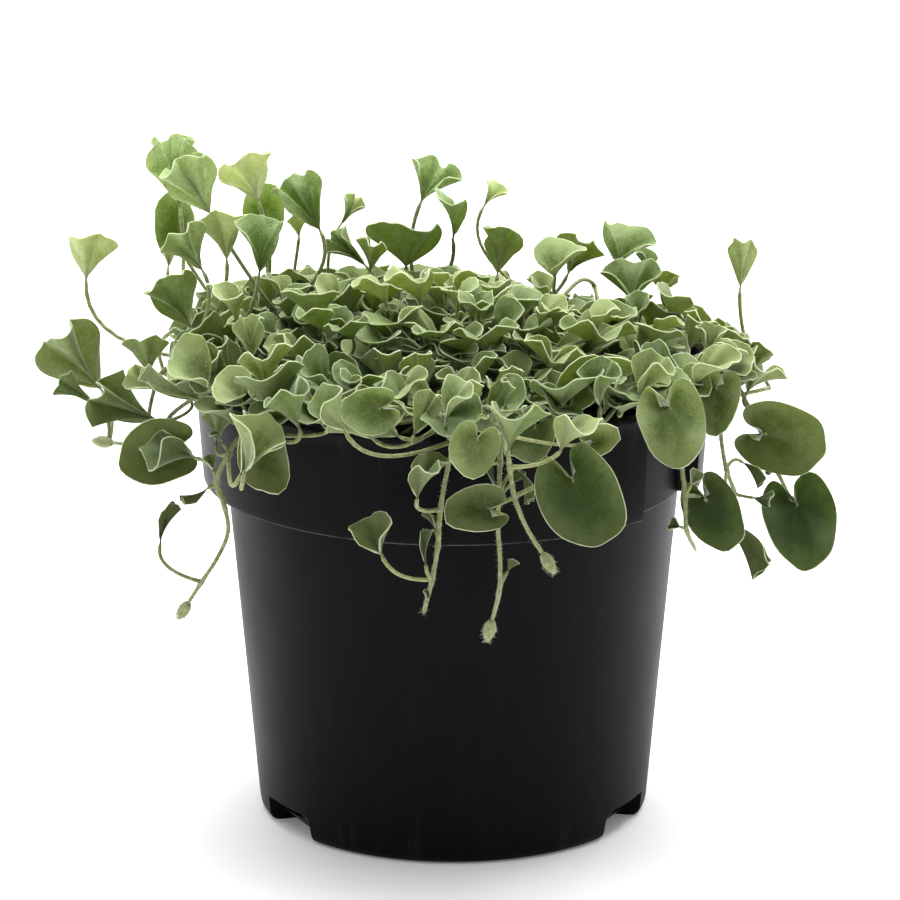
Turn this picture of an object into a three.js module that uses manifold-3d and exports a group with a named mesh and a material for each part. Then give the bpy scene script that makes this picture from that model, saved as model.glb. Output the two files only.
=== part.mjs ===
// Potted silver falls dichondra: a black nursery pot, its soil and the leafy stems growing in it.
// Millimetres, +Z up, the pot's flat underside on z = 0 and its axis on x = y = 0; the front faces -Y.

import * as THREE from 'three';
import { mergeVertices } from 'three/addons/utils/BufferGeometryUtils.js';
import Module from 'manifold-3d';

const wasm = await Module();
wasm.setup();

const DEGREE = Math.PI / 180;

// Driving dimensions of the pot
const POT = {
  rimHeight: 128.3,
  lipHeight: 1.8,
  lipRadius: 73,
  collarTopRadius: 72,
  collarBottomRadius: 70,
  collarBottom: 96.8,
  bodyTopRadius: 63.4,
  baseRadius: 55,
  baseCorner: 3,
  lipRound: 0.5,
  lipFillet: 0.4,
  innerCorner: 1.5,
  wall: 1.6,
  floor: 2.4,
  sides: 42,
};

// The two finger recesses in the collar, as angles round the pot from +X
const RECESS = { starts: [-42, 138], span: 26, radius: 64.9, steps: 6 };

// The three drain notches in the corner of the base, each with a slot high in its sloping face
const NOTCH = { angles: [-148, -28, 90], width: 22, height: 8.5, depth: 9, slope: 10.5 };
const SLOT = { width: 16, height: 2.2, depth: 8, drop: 0.6, inset: 1 };

// How far the cutting shapes reach past the surfaces that they cut
const PAST = { side: 6, top: 3, under: 1 };

// The soil and the blind holes that the stems stand in
const SOIL = { top: 113, mound: 4, clearance: 0.4, holeDepth: 7, holeGap: 0.35, holeReach: 30, sides: 26 };

// The outline of the soil's top: radius and height above its nominal top
const MOUND = [[73, -2], [55, 0.5], [35, 1.5], [0, 1]];

// Stems, leafstalks, buds and blades
const STEM = { radius: 0.85, thinning: 0.15, sides: 4, count: 36, spread: 54, overRim: 40, step: 10 };
const STALK = { radius: 0.64, below: 0.75, arch: 0.45, bend: 0.2, shortest: 3, long: 24, attachments: 20 };
const THIN_STEP = 1.6;
const GOLDEN_ANGLE = 137.5 * DEGREE;

// Ways of the stems by rule: each place as [times the root's radius, mm more, height in mm]. Stems
// rooted within the overRim radius rise inside the foliage, and the others hang over the rim.
const INSIDE_WAY = [[1.15, 2, 124], [1.35, 6, 130], [1.5, 12, 137]];
const OUTSIDE_WAY = [[1, 6, 125], [0, 71, 135], [0, 83, 130], [0, 87, 117]];

// How far a stem strays from its way in mm, and how much more at each try until it is clear
const STRAY = { stem: 4, stemMore: 0.35, stemTries: 40, nearest: 20 };
const TRAIL_STRAY = { least: 1, more: 0.4, tries: 30 };

// How a photographed trail leaves the soil: its roots to try, and the rise over soil and rim in mm
const LEAVE = { roots: 9, share: 0.4, overSoil: 14, overRim: 4, steady: 0.35 };

// Longest leafstalks and rounds of tries, for blades from the photograph and those of the dome
const REACH = { seen: 52, seenRounds: 8, dome: 34, domeRounds: 4 };

// How far a blade from the photograph may slide along the line of sight to come clear
const SLIDE = { steps: 17, step: 2.5 };
// Blades: facets across a blade by its size, and the shape that they share unless a row says otherwise
const BLADE = { thickness: 0.74, sampleStep: 2.6, root: 0.6, steps: [[11, 5], [15, 6], [18, 7], [99, 9]] };
const CONE = { deep: 0.9, broad: 1, taper: 0.16, wave: [0.1, 0.07], waves: [2, 2] };
const KIDNEY = { open: 80, wrap: 150, toward: 76, deep: 1, broad: 0.58, taper: 0.5 };
const BUD = { steps: [-1, 0.6, 3.4, 5], radii: [0.7, 1.6, 1.7, 0.6], sides: 6 };

// The room that each part of the plant keeps round the points it is sampled at
const ROOM = { blade: 1.4, stalk: 0.95, stem: 1.1 };

// The camera of the photograph, which turns a pixel of it and a depth into a place
const CAMERA = { distance: 1527, height: 551.6, pitch: 16.36, focal: 5677, axis: 453.2, middle: 450 };

// Materials, with colours from the photograph
const PLASTIC = new THREE.MeshStandardMaterial({ color: 0x1c1d1f, roughness: 0.55, metalness: 0 });
const PEAT = new THREE.MeshStandardMaterial({ color: 0x2a2019, roughness: 0.95, metalness: 0 });
const LEAF = new THREE.MeshStandardMaterial({ color: 0x7f9c66, roughness: 0.75, metalness: 0 });

// Leaves placed from the photograph: foot of the blade (pixels across and down), depth in mm behind
// the pot's axis, width and height of the blade in mm, lean in degrees clockwise as seen in the photo.
// FANS show their outer face, with the midrib nearest the viewer.
const FANS = [
  [211, 215, 22, 17, 17, -30], [259, 203, 30, 18, 13, -20], [204, 273, 8, 15, 13, -32],
  [227, 263, 14, 16, 13.5, -4], [86, 280, -6, 16, 12, 4], [150, 375, -22, 14, 10, -6],
  [193, 331, -8, 17, 16, -28], [103, 392, -12, 21, 20, -38], [163, 423, -30, 16, 20, -68],
  [497, 277, 30, 12, 14, 8], [406, 267, 36, 25, 11, 3], [567, 276, 32, 14, 11, 22],
  [662, 293, 30, 10, 6, 10], [600, 356, 2, 11, 14.5, 0], [484, 322, 14, 9, 13, -14],
  [99, 407, -20, 8, 13, -54], [740, 290, 8, 9, 14, 4], [216, 446, -52, 8, 9, 6],
  [752, 369, -2, 8, 7, 35], [564, 409, -42, 15, 15, 6], [462, 420, -62, 12, 10, 4],
  [440, 351, -4, 14, 11, 8], [374, 440, -76, 14, 12, -46], [238, 388, -34, 15, 13, -32],
  [385, 389, -42, 13, 10, 0], [424, 391, -50, 11, 10, -12], [400, 437, -80, 8, 9, -62],
  [510, 409, -60, 8, 11, 2],
];
const FAN_SET = { toward: -4, turn: 0, swing: 24, wrap: 100, broad: 1 };

// OPENS show their inner face, with the midrib on the far side.
const OPENS = [
  [180, 209, 36, 17, 20, -8], [321, 232, 34, 16, 17, -28], [259, 276, 10, 16, 16, 6],
  [421, 202, 44, 17, 12, 22], [617, 266, 36, 20, 11, 14], [339, 227, 48, 7, 10, 34],
  [484, 206, 50, 8, 7.5, 32], [251, 361, -34, 10, 12, -2], [368, 361, -24, 8, 12, -8],
  [388, 330, -10, 7, 7, 0], [368, 268, 26, 9, 14, -48], [168, 392, -40, 9, 12, -60],
  [168, 268, 20, 6, 6, 5], [705, 368, -20, 9, 12, 10], [636, 366, -26, 12, 11, -6],
  [472, 413, -66, 9, 10, 0], [413, 437, -78, 8, 13, 24], [405, 412, -66, 8, 10, -14],
  [528, 362, -22, 12, 6, 0], [571, 363, -20, 9, 6, 10],
];
const OPEN_SET = { toward: 12, turn: 180, swing: 24, wrap: 85, broad: 1 };

// CUPS are open upwards, so both faces show; their midribs turn by the seeded draws.
const CUPS = [
  [236, 322, -14, 16, 11, -6], [374, 328, -6, 12, 14, 8], [352, 323, -2, 14, 12, -10],
  [453, 240, 40, 14, 14, 2], [370, 272, 30, 9, 10, 8], [555, 279, 26, 19, 9, -2],
  [545, 304, 16, 11, 8, 0], [633, 304, 20, 17, 11, -4], [648, 276, 34, 10, 7, 8],
  [668, 325, 6, 14, 11, 16], [698, 345, -4, 13, 10, 14], [290, 322, 0, 14, 10, -8],
  [515, 348, -6, 13, 9, 0], [640, 330, 8, 10, 10, -8], [299, 238, 38, 8, 8, -4],
  [440, 306, 16, 12, 8, -6], [300, 372, -36, 12, 11, -4], [560, 338, 0, 10, 8, 4],
  [417, 500, -84, 14, 12, 8], [382, 556, -88, 14, 10, -28], [240, 476, -66, 14, 16, 24],
  [690, 384, -30, 13, 10, 6], [518, 392, -44, 11, 10, -4], [340, 345, -20, 12, 10, 2],
  [453, 387, -46, 11, 9, 4], [481, 384, -44, 10, 8, -8], [489, 358, -20, 11, 8, 4],
  [318, 323, 4, 11, 7, 0],
];
const CUP_SET = { toward: 20, turn: 180, swing: 360, wrap: 130, broad: 1 };

// KIDNEYS face the viewer, with the midrib along the lean.
const KIDNEYS = [
  [573, 480, -88, 22, 21, 156], [535, 428, -76, 13, 12, 215], [477, 440, -78, 13, 12, 200],
  [488, 508, -86, 13, 13, 262], [670, 408, -70, 18, 18, 172], [765, 434, -30, 19, 20, 108],
  [797, 504, -34, 20, 20, 168], [176, 236, 46, 12, 14, -6], [264, 221, 42, 12, 13, 2],
  [172, 450, -36, 18, 16, 262], [262, 446, -70, 14, 15, 168], [716, 388, -26, 14, 14, 190],
  [594, 442, -84, 9, 8, 60], [576, 390, -62, 12, 12, 40], [330, 374, -44, 15, 12, 150],
];

// FOLDS are blades shut along the midrib, seen from the side.
const FOLDS = [
  [719, 517, -48, 12, 19, 128], [209, 402, -44, 8, 20, -74], [160, 545, -40, 8, 12, 8],
  [426, 566, -86, 5, 10, -10], [742, 462, -36, 7, 8, 120], [208, 488, -46, 7, 8, 230],
  [716, 508, -52, 4, 5, -30], [520, 470, -84, 7, 9, 150], [498, 492, -84, 6, 11, -24],
];
const FOLD_SET = { toward: 10, turn: 90, swing: 0, wrap: 115, broad: 0.3 };

// Trailing stems that the photograph shows: places from the soil outwards, as pixels and depth.
const TRAILS = [
  { path: [[259, 398, -46], [239, 439, -58], [217, 470, -60], [228, 532, -52], [186, 605, -44]], tip: 0.1 },
  { path: [[256, 403, -36], [200, 404, -30], [170, 421, -26], [172, 446, -30], [115, 442, -20]], tip: 0.1 },
  { path: [[712, 404, -38], [724, 446, -44], [730, 482, -44], [736, 496, -42]], tip: 0 },
  { path: [[720, 380, -14], [762, 432, -22], [784, 480, -28], [790, 498, -26]], tip: 0 },
  { path: [[672, 430, -56], [682, 470, -62], [687, 530, -60], [692, 550, -58]], tip: 0 },
  { path: [[448, 430, -80], [445, 500, -82], [440, 560, -82], [424, 612, -82]], tip: 0 },
  { path: [[498, 430, -82], [502, 520, -82], [496, 590, -80], [490, 622, -80]], tip: 1 },
  { path: [[510, 440, -84], [518, 500, -86], [530, 540, -87], [544, 560, -88]], tip: 1 },
];

// The dome of foliage: leaves that the photograph shows only as a mass, and those out of its sight
const DOME = { radius: 90, height: 46, centre: 112, inset: 12, count: 70, tries: 24000 };
const DOME_SIZE = { largest: 16, shrink: 6 };

// The draws of a dome leaf, each as [start, span]: how far down the dome it may sit, its shape,
// and how its axis leans outwards, swings sideways and turns
const DOME_LEAF = {
  upward: [1, -1.25],
  size: [0.62, 0.38],
  open: [34, 22],
  wrap: [95, 45],
  wave: [0.1, 0.08],
  waves: [2, 2],
  deep: [0.6, 0.35],
  lean: [-0.25, 0.5],
  swing: [-0.3, 0.6],
  turn: [-60, 120],
  outward: 0.55,
  sink: 0.6,
};

// Where the pot hides what is behind it, in pixels of the photograph
const HIDDEN = { top: 372, halfWidth: 222 };

// The outline of the dense foliage in the photograph, in pixels across and down
const MASS = [
  [165, 330], [205, 280], [300, 264], [450, 262], [560, 290], [700, 304], [765, 335],
  [765, 380], [700, 400], [640, 412], [560, 425], [470, 440], [330, 425], [250, 430], [165, 400],
];

// Seeds of the draws for each step of the growth
const SEEDS = { blades: 7, trails: 33, stems: 44, stalks: 55, dome: 21 };

// Repeatable numbers from 0 to 1
function draws(seed) {
  let state = seed >>> 0;
  return () => {
    state = (state + 0x6d2b79f5) >>> 0;
    let mixed = Math.imul(state ^ (state >>> 15), 1 | state);
    mixed = (mixed + Math.imul(mixed ^ (mixed >>> 7), 61 | mixed)) ^ mixed;
    return ((mixed ^ (mixed >>> 14)) >>> 0) / 4294967296;
  };
}

const vector = (x, y, z) => new THREE.Vector3(x, y, z);

const CAMERA_SPOT = vector(0, -CAMERA.distance, CAMERA.height);
const PITCH = CAMERA.pitch * DEGREE;
const FORWARD = vector(0, Math.cos(PITCH), -Math.sin(PITCH));
const SCREEN_UP = vector(0, Math.sin(PITCH), Math.cos(PITCH));
const SCREEN_RIGHT = vector(1, 0, 0);
const TOWARD = FORWARD.clone().negate();

// The place seen at a pixel of the photograph, at a depth behind the pot's axis
function seen(across, down, depth) {
  const ray = FORWARD.clone()
    .addScaledVector(SCREEN_RIGHT, (across - CAMERA.axis) / CAMERA.focal)
    .addScaledVector(SCREEN_UP, (CAMERA.middle - down) / CAMERA.focal);
  return CAMERA_SPOT.clone().addScaledVector(ray, (depth + CAMERA.distance) / ray.y);
}

// The pixel at which a place is seen
function pixelOf(place) {
  const offset = place.clone().sub(CAMERA_SPOT);
  const ahead = offset.dot(FORWARD);
  const across = CAMERA.axis + CAMERA.focal * offset.x / ahead;
  return [across, CAMERA.middle - CAMERA.focal * offset.dot(SCREEN_UP) / ahead];
}

// A leaf's axes on the screen: up the blade by its lean, tipped toward the viewer, and the midrib's side
function screenAxes(lean, toward, turn) {
  const heading = SCREEN_RIGHT.clone().multiplyScalar(Math.sin(lean * DEGREE))
    .addScaledVector(SCREEN_UP, Math.cos(lean * DEGREE));
  const axis = heading.clone().multiplyScalar(Math.cos(toward * DEGREE))
    .addScaledVector(TOWARD, Math.sin(toward * DEGREE));
  const near = TOWARD.clone().multiplyScalar(Math.cos(toward * DEGREE))
    .addScaledVector(heading, -Math.sin(toward * DEGREE));
  return turnedAxes(axis, near, turn);
}

// The axis, the midrib's side and the cross direction of a blade
function turnedAxes(axis, near, turn) {
  const side = axis.clone().cross(near);
  const midrib = near.clone().multiplyScalar(Math.cos(turn * DEGREE))
    .addScaledVector(side, Math.sin(turn * DEGREE));
  return { axis, midrib, cross: axis.clone().cross(midrib) };
}

// A draw from a range given as [start, span]
const drawn = ([start, span], random) => start + span * random();

// A blade is a waved cone about its axis, with rulings from its foot to the rim over the wrap angle:
// the ruling at s, from -1 to 1 across the blade, as a vector from the foot to the rim
function ruling(leaf, s) {
  const open = leaf.open + leaf.wave * Math.cos(leaf.waves * s * Math.PI + leaf.phase);
  const around = leaf.wrap * s;
  const length = leaf.size * (1 - leaf.taper * Math.abs(s) ** 2.5);
  return leaf.axis.clone().multiplyScalar(Math.cos(open))
    .addScaledVector(leaf.midrib, Math.sin(open) * Math.cos(around) * leaf.deep)
    .addScaledVector(leaf.cross, Math.sin(open) * Math.sin(around) * leaf.broad)
    .multiplyScalar(length);
}

// Cone angle and size from a blade's width and height as seen from its side
function coneShape(wide, tall, random) {
  return {
    ...CONE,
    size: Math.hypot(wide / 2, tall),
    open: Math.atan2(wide / 2, tall),
    wave: drawn(CONE.wave, random),
    waves: Math.floor(drawn(CONE.waves, random)),
    phase: 2 * Math.PI * random(),
  };
}

// Points all over a blade, each a sampleStep apart at most
function bladeSamples(leaf) {
  const samples = [];
  const rings = Math.ceil(leaf.size / BLADE.sampleStep);
  for (let ring = 1; ring <= rings; ring += 1) {
    const reach = ring / rings;
    const arc = 2 * leaf.wrap * Math.sin(leaf.open) * leaf.size * reach;
    const steps = Math.max(2, Math.ceil(arc / BLADE.sampleStep));
    for (let step = 0; step <= steps; step += 1) {
      const s = -1 + 2 * step / steps;
      samples.push(ruling(leaf, s).multiplyScalar(reach).add(leaf.foot));
    }
  }
  return samples;
}

// Everything placed so far, as groups of sample points with the room they keep
const placed = [];

function groupOf(points, room) {
  const centre = vector(0, 0, 0);
  points.forEach((point) => centre.addScaledVector(point, 1 / points.length));
  const reach = Math.max(...points.map((point) => point.distanceTo(centre)));
  return { points, room, centre, reach };
}

// Blades keep clear of all else, and the thin parts of one stem may meet each other
function place(points, room, stem, leaf) {
  placed.push({ ...groupOf(points, room), stem, leaf });
}

// True where the points keep clear of the pot, the soil and what is placed already
function isClear(points, room, stem, leaf) {
  if (points.some((point) => hitsPot(point, room))) return false;
  const group = groupOf(points, room);
  return !placed.some((other) => {
    if (leaf && other.leaf === leaf) return false;
    if (stem && other.stem === stem) return false;
    return groupsTouch(group, other);
  });
}

function groupsTouch(group, other) {
  const limit = group.room + other.room;
  if (group.centre.distanceTo(other.centre) > group.reach + other.reach + limit) return false;
  return group.points.some((point) => {
    if (point.distanceTo(other.centre) > other.reach + limit) return false;
    return other.points.some((near) => near.distanceToSquared(point) < limit * limit);
  });
}

// True within the room of the pot's wall or the soil
function hitsPot(point, room) {
  const radius = Math.hypot(point.x, point.y);
  if (point.z > POT.rimHeight + room) return false;
  if (radius > POT.lipRadius + room) return false;
  if (point.z < POT.collarBottom - room) return radius < POT.bodyTopRadius + room;
  if (radius > POT.bodyTopRadius - POT.wall - room) return true;
  return point.z < SOIL.top + SOIL.mound + room;
}

function coneRow([across, down, depth, wide, tall, lean], random, set) {
  const turn = set.swing ? set.turn + set.swing * (random() - 0.5) : set.turn;
  const shape = { ...coneShape(wide, tall, random), wrap: set.wrap * DEGREE, broad: set.broad };
  return { across, down, depth, axes: screenAxes(lean, set.toward, turn), shape };
}

function kidneyRow([across, down, depth, wide, tall, heading], random) {
  const shape = { ...coneShape(wide, tall, random), size: tall, open: KIDNEY.open * DEGREE };
  shape.wrap = KIDNEY.wrap * DEGREE;
  shape.deep = KIDNEY.deep;
  shape.broad = KIDNEY.broad * wide / tall;
  shape.taper = KIDNEY.taper;
  return { across, down, depth, axes: screenAxes(heading - 180, KIDNEY.toward, 0), shape };
}

// Blades from the photograph, each slid along the line of sight until it is clear
function seenLeaves() {
  const random = draws(SEEDS.blades);
  const rows = [];
  KIDNEYS.forEach((row) => rows.push(kidneyRow(row, random)));
  FOLDS.forEach((row) => rows.push(coneRow(row, random, FOLD_SET)));
  FANS.forEach((row) => rows.push(coneRow(row, random, FAN_SET)));
  OPENS.forEach((row) => rows.push(coneRow(row, random, OPEN_SET)));
  CUPS.forEach((row) => rows.push(coneRow(row, random, CUP_SET)));
  return rows.map((row) => slideClear(row, () => true)).filter((leaf) => leaf);
}

// The first leaf along the line of sight whose blade is clear and that passes the test, placed there
function slideClear(row, test) {
  for (let step = 0; step < SLIDE.steps; step += 1) {
    const slide = (step % 2 ? 1 : -1) * Math.ceil(step / 2) * SLIDE.step;
    const foot = seen(row.across, row.down, row.depth + slide);
    const leaf = { foot, ...row.axes, ...row.shape, row };
    const samples = bladeSamples(leaf);
    if (isClear(samples, ROOM.blade) && test(leaf)) {
      place(samples, ROOM.blade, null, leaf);
      return leaf;
    }
  }
  return null;
}

// Roots on a sunflower lattice over the soil
function rootPlace(index) {
  const radius = STEM.spread * Math.sqrt((index + 0.5) / STEM.count);
  const around = index * GOLDEN_ANGLE;
  return vector(radius * Math.cos(around), radius * Math.sin(around), SOIL.top);
}

// A stem's way: out of its hole, then outwards under the foliage, over the rim where it starts near it
function stemWay(root, random, stray) {
  const radius = Math.hypot(root.x, root.y);
  const around = Math.atan2(root.y, root.x);
  const jitter = () => stray * (random() - 0.5);
  const places = radius < STEM.overRim ? INSIDE_WAY : OUTSIDE_WAY;
  return places.map(([times, more, height]) => {
    const reach = radius * times + more;
    const angle = around + jitter() / Math.max(reach, STRAY.nearest);
    const x = (reach + jitter()) * Math.cos(angle);
    const y = (reach + jitter()) * Math.sin(angle);
    return vector(x, y, height + jitter());
  });
}

// Points along a stem, about a stem step apart, from the bottom of its hole
function stemPoints(root, way) {
  const bottom = vector(root.x, root.y, SOIL.top - SOIL.holeDepth + 1);
  const collar = vector(root.x, root.y, SOIL.top + SOIL.mound + 1);
  const curve = new THREE.CatmullRomCurve3([collar, ...way], false, 'centripetal');
  return [bottom, ...curve.getSpacedPoints(Math.ceil(curve.getLength() / STEM.step))];
}

// The samples of a thin part, at most a sampleStep apart, from a place along it
function alongSamples(points, from) {
  const samples = [];
  for (let index = from; index < points.length - 1; index += 1) {
    const pieces = Math.ceil(points[index].distanceTo(points[index + 1]) / THIN_STEP);
    for (let piece = 0; piece < pieces; piece += 1) {
      samples.push(points[index].clone().lerp(points[index + 1], piece / pieces));
    }
  }
  samples.push(points[points.length - 1]);
  return samples;
}

function growStem(root, choices) {
  for (let attempt = 0; attempt < choices.length; attempt += 1) {
    const points = stemPoints(root, choices[attempt]);
    const above = points.findIndex((point) => point.z > SOIL.top + SOIL.mound + ROOM.stem);
    const samples = alongSamples(points, above);
    if (isClear(samples, ROOM.stem)) {
      const stem = { root, points, above, leaves: [], tip: 0 };
      place(samples, ROOM.stem, stem.points, null);
      return stem;
    }
  }
  return null;
}

function allRoots() {
  const roots = [];
  for (let index = 0; index < STEM.count; index += 1) roots.push(rootPlace(index));
  return roots;
}

// The trails of the photograph, each from the nearest root that it grows clear from
function growTrails(roots) {
  const random = draws(SEEDS.trails);
  return TRAILS.map(({ path, tip }) => {
    const way = path.map(([across, down, depth]) => seen(across, down, depth));
    const order = [...roots].sort((a, b) => flatDistance(a, way[0]) - flatDistance(b, way[0]));
    for (const root of order.slice(0, LEAVE.roots)) {
      const stem = growStem(root, trailChoices(root, way, random));
      if (stem) {
        roots.splice(roots.indexOf(root), 1);
        return { ...stem, tip };
      }
    }
    return null;
  }).filter((stem) => stem);
}

// A stem by rule from each root that is left
function growStems(roots) {
  const random = draws(SEEDS.stems);
  return roots.map((root) => {
    const choices = [];
    for (let attempt = 0; attempt < STRAY.stemTries; attempt += 1) {
      choices.push(stemWay(root, random, STRAY.stem + attempt * STRAY.stemMore));
    }
    return growStem(root, choices);
  }).filter((stem) => stem);
}

const flatDistance = (a, b) => Math.hypot(a.x - b.x, a.y - b.y);

// A random vector in a cube of the given width
function jolt(random, width) {
  return vector(random() - 0.5, random() - 0.5, random() - 0.5).multiplyScalar(width);
}

// Ways from a root to a trail: over the rim where the trail starts outside the pot
function trailChoices(root, way, random) {
  const choices = [];
  for (let attempt = 0; attempt < TRAIL_STRAY.tries; attempt += 1) {
    const stray = TRAIL_STRAY.least + attempt * TRAIL_STRAY.more;
    const lifted = root.clone().lerp(way[0], LEAVE.share);
    lifted.z = Math.max(SOIL.top + LEAVE.overSoil, lifted.z);
    const first = way[0].clone();
    first.z = Math.max(first.z, POT.rimHeight + LEAVE.overRim);
    const places = [lifted.add(jolt(random, stray)), first.add(jolt(random, stray))];
    way.slice(1).forEach((at) => places.push(at.clone().add(jolt(random, stray * LEAVE.steady))));
    choices.push(places);
  }
  return choices;
}

// The direction in which a leafstalk reaches the foot of its blade
function arrival(leaf) {
  return leaf.axis.clone().multiplyScalar(Math.cos(leaf.open / 2))
    .addScaledVector(leaf.midrib, Math.sin(leaf.open / 2));
}

// A leafstalk from a place on a stem to the foot of a blade, as a bent line
function stalkPoints(leaf, from, bend) {
  const reach = from.distanceTo(leaf.foot);
  const way = arrival(leaf);
  const end = leaf.foot.clone().addScaledVector(way, -STALK.below);
  const control = leaf.foot.clone().addScaledVector(way, -STALK.arch * reach).addScaledVector(bend, reach);
  const curve = new THREE.QuadraticBezierCurve3(from, control, end);
  return curve.getPoints(reach > STALK.long ? 3 : 2);
}

// The first clear leafstalk from the stems near a leaf, nearest attachments first
function growStalk(leaf, stems, random, limit, rounds) {
  const attachments = [];
  stems.forEach((stem) => {
    for (let index = stem.above + 2; index < stem.points.length; index += 1) {
      const reach = stem.points[index].distanceTo(leaf.foot);
      if (reach < limit && reach > STALK.shortest) attachments.push({ stem, index, reach });
    }
  });
  attachments.sort((a, b) => a.reach - b.reach);
  for (let round = 0; round < rounds; round += 1) {
    for (const { stem, index } of attachments.slice(0, STALK.attachments)) {
      const bend = jolt(random, STALK.bend * round);
      const points = stalkPoints(leaf, stem.points[index], bend);
      const samples = alongSamples(points, 0);
      if (isClear(samples, ROOM.stalk, stem.points, leaf)) return { stem, points, samples };
    }
  }
  return null;
}

function attach(leaf, stalk) {
  leaf.stalk = stalk.points;
  stalk.stem.leaves.push(leaf);
  place(stalk.samples, ROOM.stalk, stalk.stem.points, leaf);
}

// A leaf of the dome by the seeded draws, its axis upright or leaning out where the dome falls away
function domeLeaf(random, largest) {
  const around = 2 * Math.PI * random();
  const upward = drawn(DOME_LEAF.upward, random);
  const flat = Math.sqrt(1 - upward * upward);
  const inset = DOME.inset * random();
  const shape = {
    ...CONE,
    size: largest * drawn(DOME_LEAF.size, random),
    open: drawn(DOME_LEAF.open, random) * DEGREE,
    wrap: drawn(DOME_LEAF.wrap, random) * DEGREE,
    wave: drawn(DOME_LEAF.wave, random),
    waves: Math.floor(drawn(DOME_LEAF.waves, random)),
    phase: 2 * Math.PI * random(),
    deep: drawn(DOME_LEAF.deep, random),
  };
  const outward = vector(Math.cos(around), Math.sin(around), 0);
  const sideways = vector(-outward.y, outward.x, 0);
  const tilt = DOME_LEAF.outward * flat + drawn(DOME_LEAF.lean, random);
  const swing = drawn(DOME_LEAF.swing, random);
  const turn = drawn(DOME_LEAF.turn, random);
  const foot = outward.clone().multiplyScalar((DOME.radius - inset) * flat);
  foot.z = DOME.centre + (DOME.height - inset) * upward - shape.size * DOME_LEAF.sink;
  const axis = vector(0, 0, 1).addScaledVector(outward, tilt).addScaledVector(sideways, swing).normalize();
  const near = outward.clone().addScaledVector(axis, -outward.dot(axis)).normalize();
  return { foot, ...turnedAxes(axis, near, turn), ...shape };
}

// Dome leaves are kept where they are clear, inside the outline, and within reach of a stem
function growDome(stems) {
  const random = draws(SEEDS.dome);
  let count = 0;
  for (let attempt = 0; attempt < DOME.tries && count < DOME.count; attempt += 1) {
    const leaf = domeLeaf(random, DOME_SIZE.largest - DOME_SIZE.shrink * attempt / DOME.tries);
    const samples = bladeSamples(leaf);
    if (!insideOutline(samples) || !isClear(samples, ROOM.blade)) continue;
    const stalk = growStalk(leaf, stems, random, REACH.dome, REACH.domeRounds);
    if (!stalk) continue;
    place(samples, ROOM.blade, null, leaf);
    attach(leaf, stalk);
    count += 1;
  }
}

function insideOutline(samples) {
  return samples.every((sample) => {
    const pixel = pixelOf(sample);
    return insidePolygon(pixel, MASS) || hiddenByPot(sample, pixel);
  });
}

// True where the pot stands between the camera and the place
function hiddenByPot(place, [across, down]) {
  return place.y > 0 && down > HIDDEN.top && Math.abs(across - CAMERA.axis) < HIDDEN.halfWidth;
}

function insidePolygon([x, y], polygon) {
  let inside = false;
  polygon.forEach(([x0, y0], index) => {
    const [x1, y1] = polygon[(index + 1) % polygon.length];
    const crosses = (y0 > y) !== (y1 > y);
    if (crosses && x < (x1 - x0) * (y - y0) / (y1 - y0) + x0) inside = !inside;
  });
  return inside;
}

// A leaf from the photograph gets its stalk where it is, or else where it can slide to
function giveStalk(leaf, stems, random) {
  const reach = (candidate) => {
    candidate.grown = growStalk(candidate, stems, random, REACH.seen, REACH.seenRounds);
    return candidate.grown;
  };
  if (reach(leaf)) {
    attach(leaf, leaf.grown);
    return;
  }
  placed.splice(placed.findIndex((group) => group.leaf === leaf), 1);
  const moved = slideClear(leaf.row, reach);
  if (moved) attach(moved, moved.grown);
}

function growPlant() {
  const roots = allRoots();
  const trails = growTrails(roots);
  const leaves = seenLeaves();
  const stems = [...trails, ...growStems(roots)];
  const random = draws(SEEDS.stalks);
  leaves.forEach((leaf) => giveStalk(leaf, stems, random));
  growDome(stems);
  return stems.filter((stem) => stem.leaves.length || stem.tip);
}

// A solid for manifold-3d from a three.js geometry
function solidOf(geometry) {
  const bare = geometry.clone();
  bare.deleteAttribute('normal');
  bare.deleteAttribute('uv');
  const merged = mergeVertices(bare, 1e-4);
  const vertProperties = new Float32Array(merged.attributes.position.array);
  const triVerts = new Uint32Array(merged.index.array);
  return new wasm.Manifold(new wasm.Mesh({ numProp: 3, vertProperties, triVerts }));
}

function meshOf(solid, name, material) {
  const { vertProperties, triVerts } = solid.getMesh();
  const geometry = new THREE.BufferGeometry();
  geometry.setAttribute('position', new THREE.Float32BufferAttribute(vertProperties, 3));
  geometry.setIndex(new THREE.Uint32BufferAttribute(triVerts, 1));
  geometry.computeVertexNormals();
  const mesh = new THREE.Mesh(geometry, material);
  mesh.name = name;
  return mesh;
}

// A closed geometry from its corner points and triangles
function facets(points, triangles) {
  const geometry = new THREE.BufferGeometry();
  const numbers = points.flatMap((point) => point.toArray());
  geometry.setAttribute('position', new THREE.Float32BufferAttribute(numbers, 3));
  geometry.setIndex(triangles.flat());
  return geometry;
}

// A direction that no stem runs along, from which the corners of a tube's rings are set out
const ASKEW = vector(0.31, 0.87, 0.38);

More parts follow.
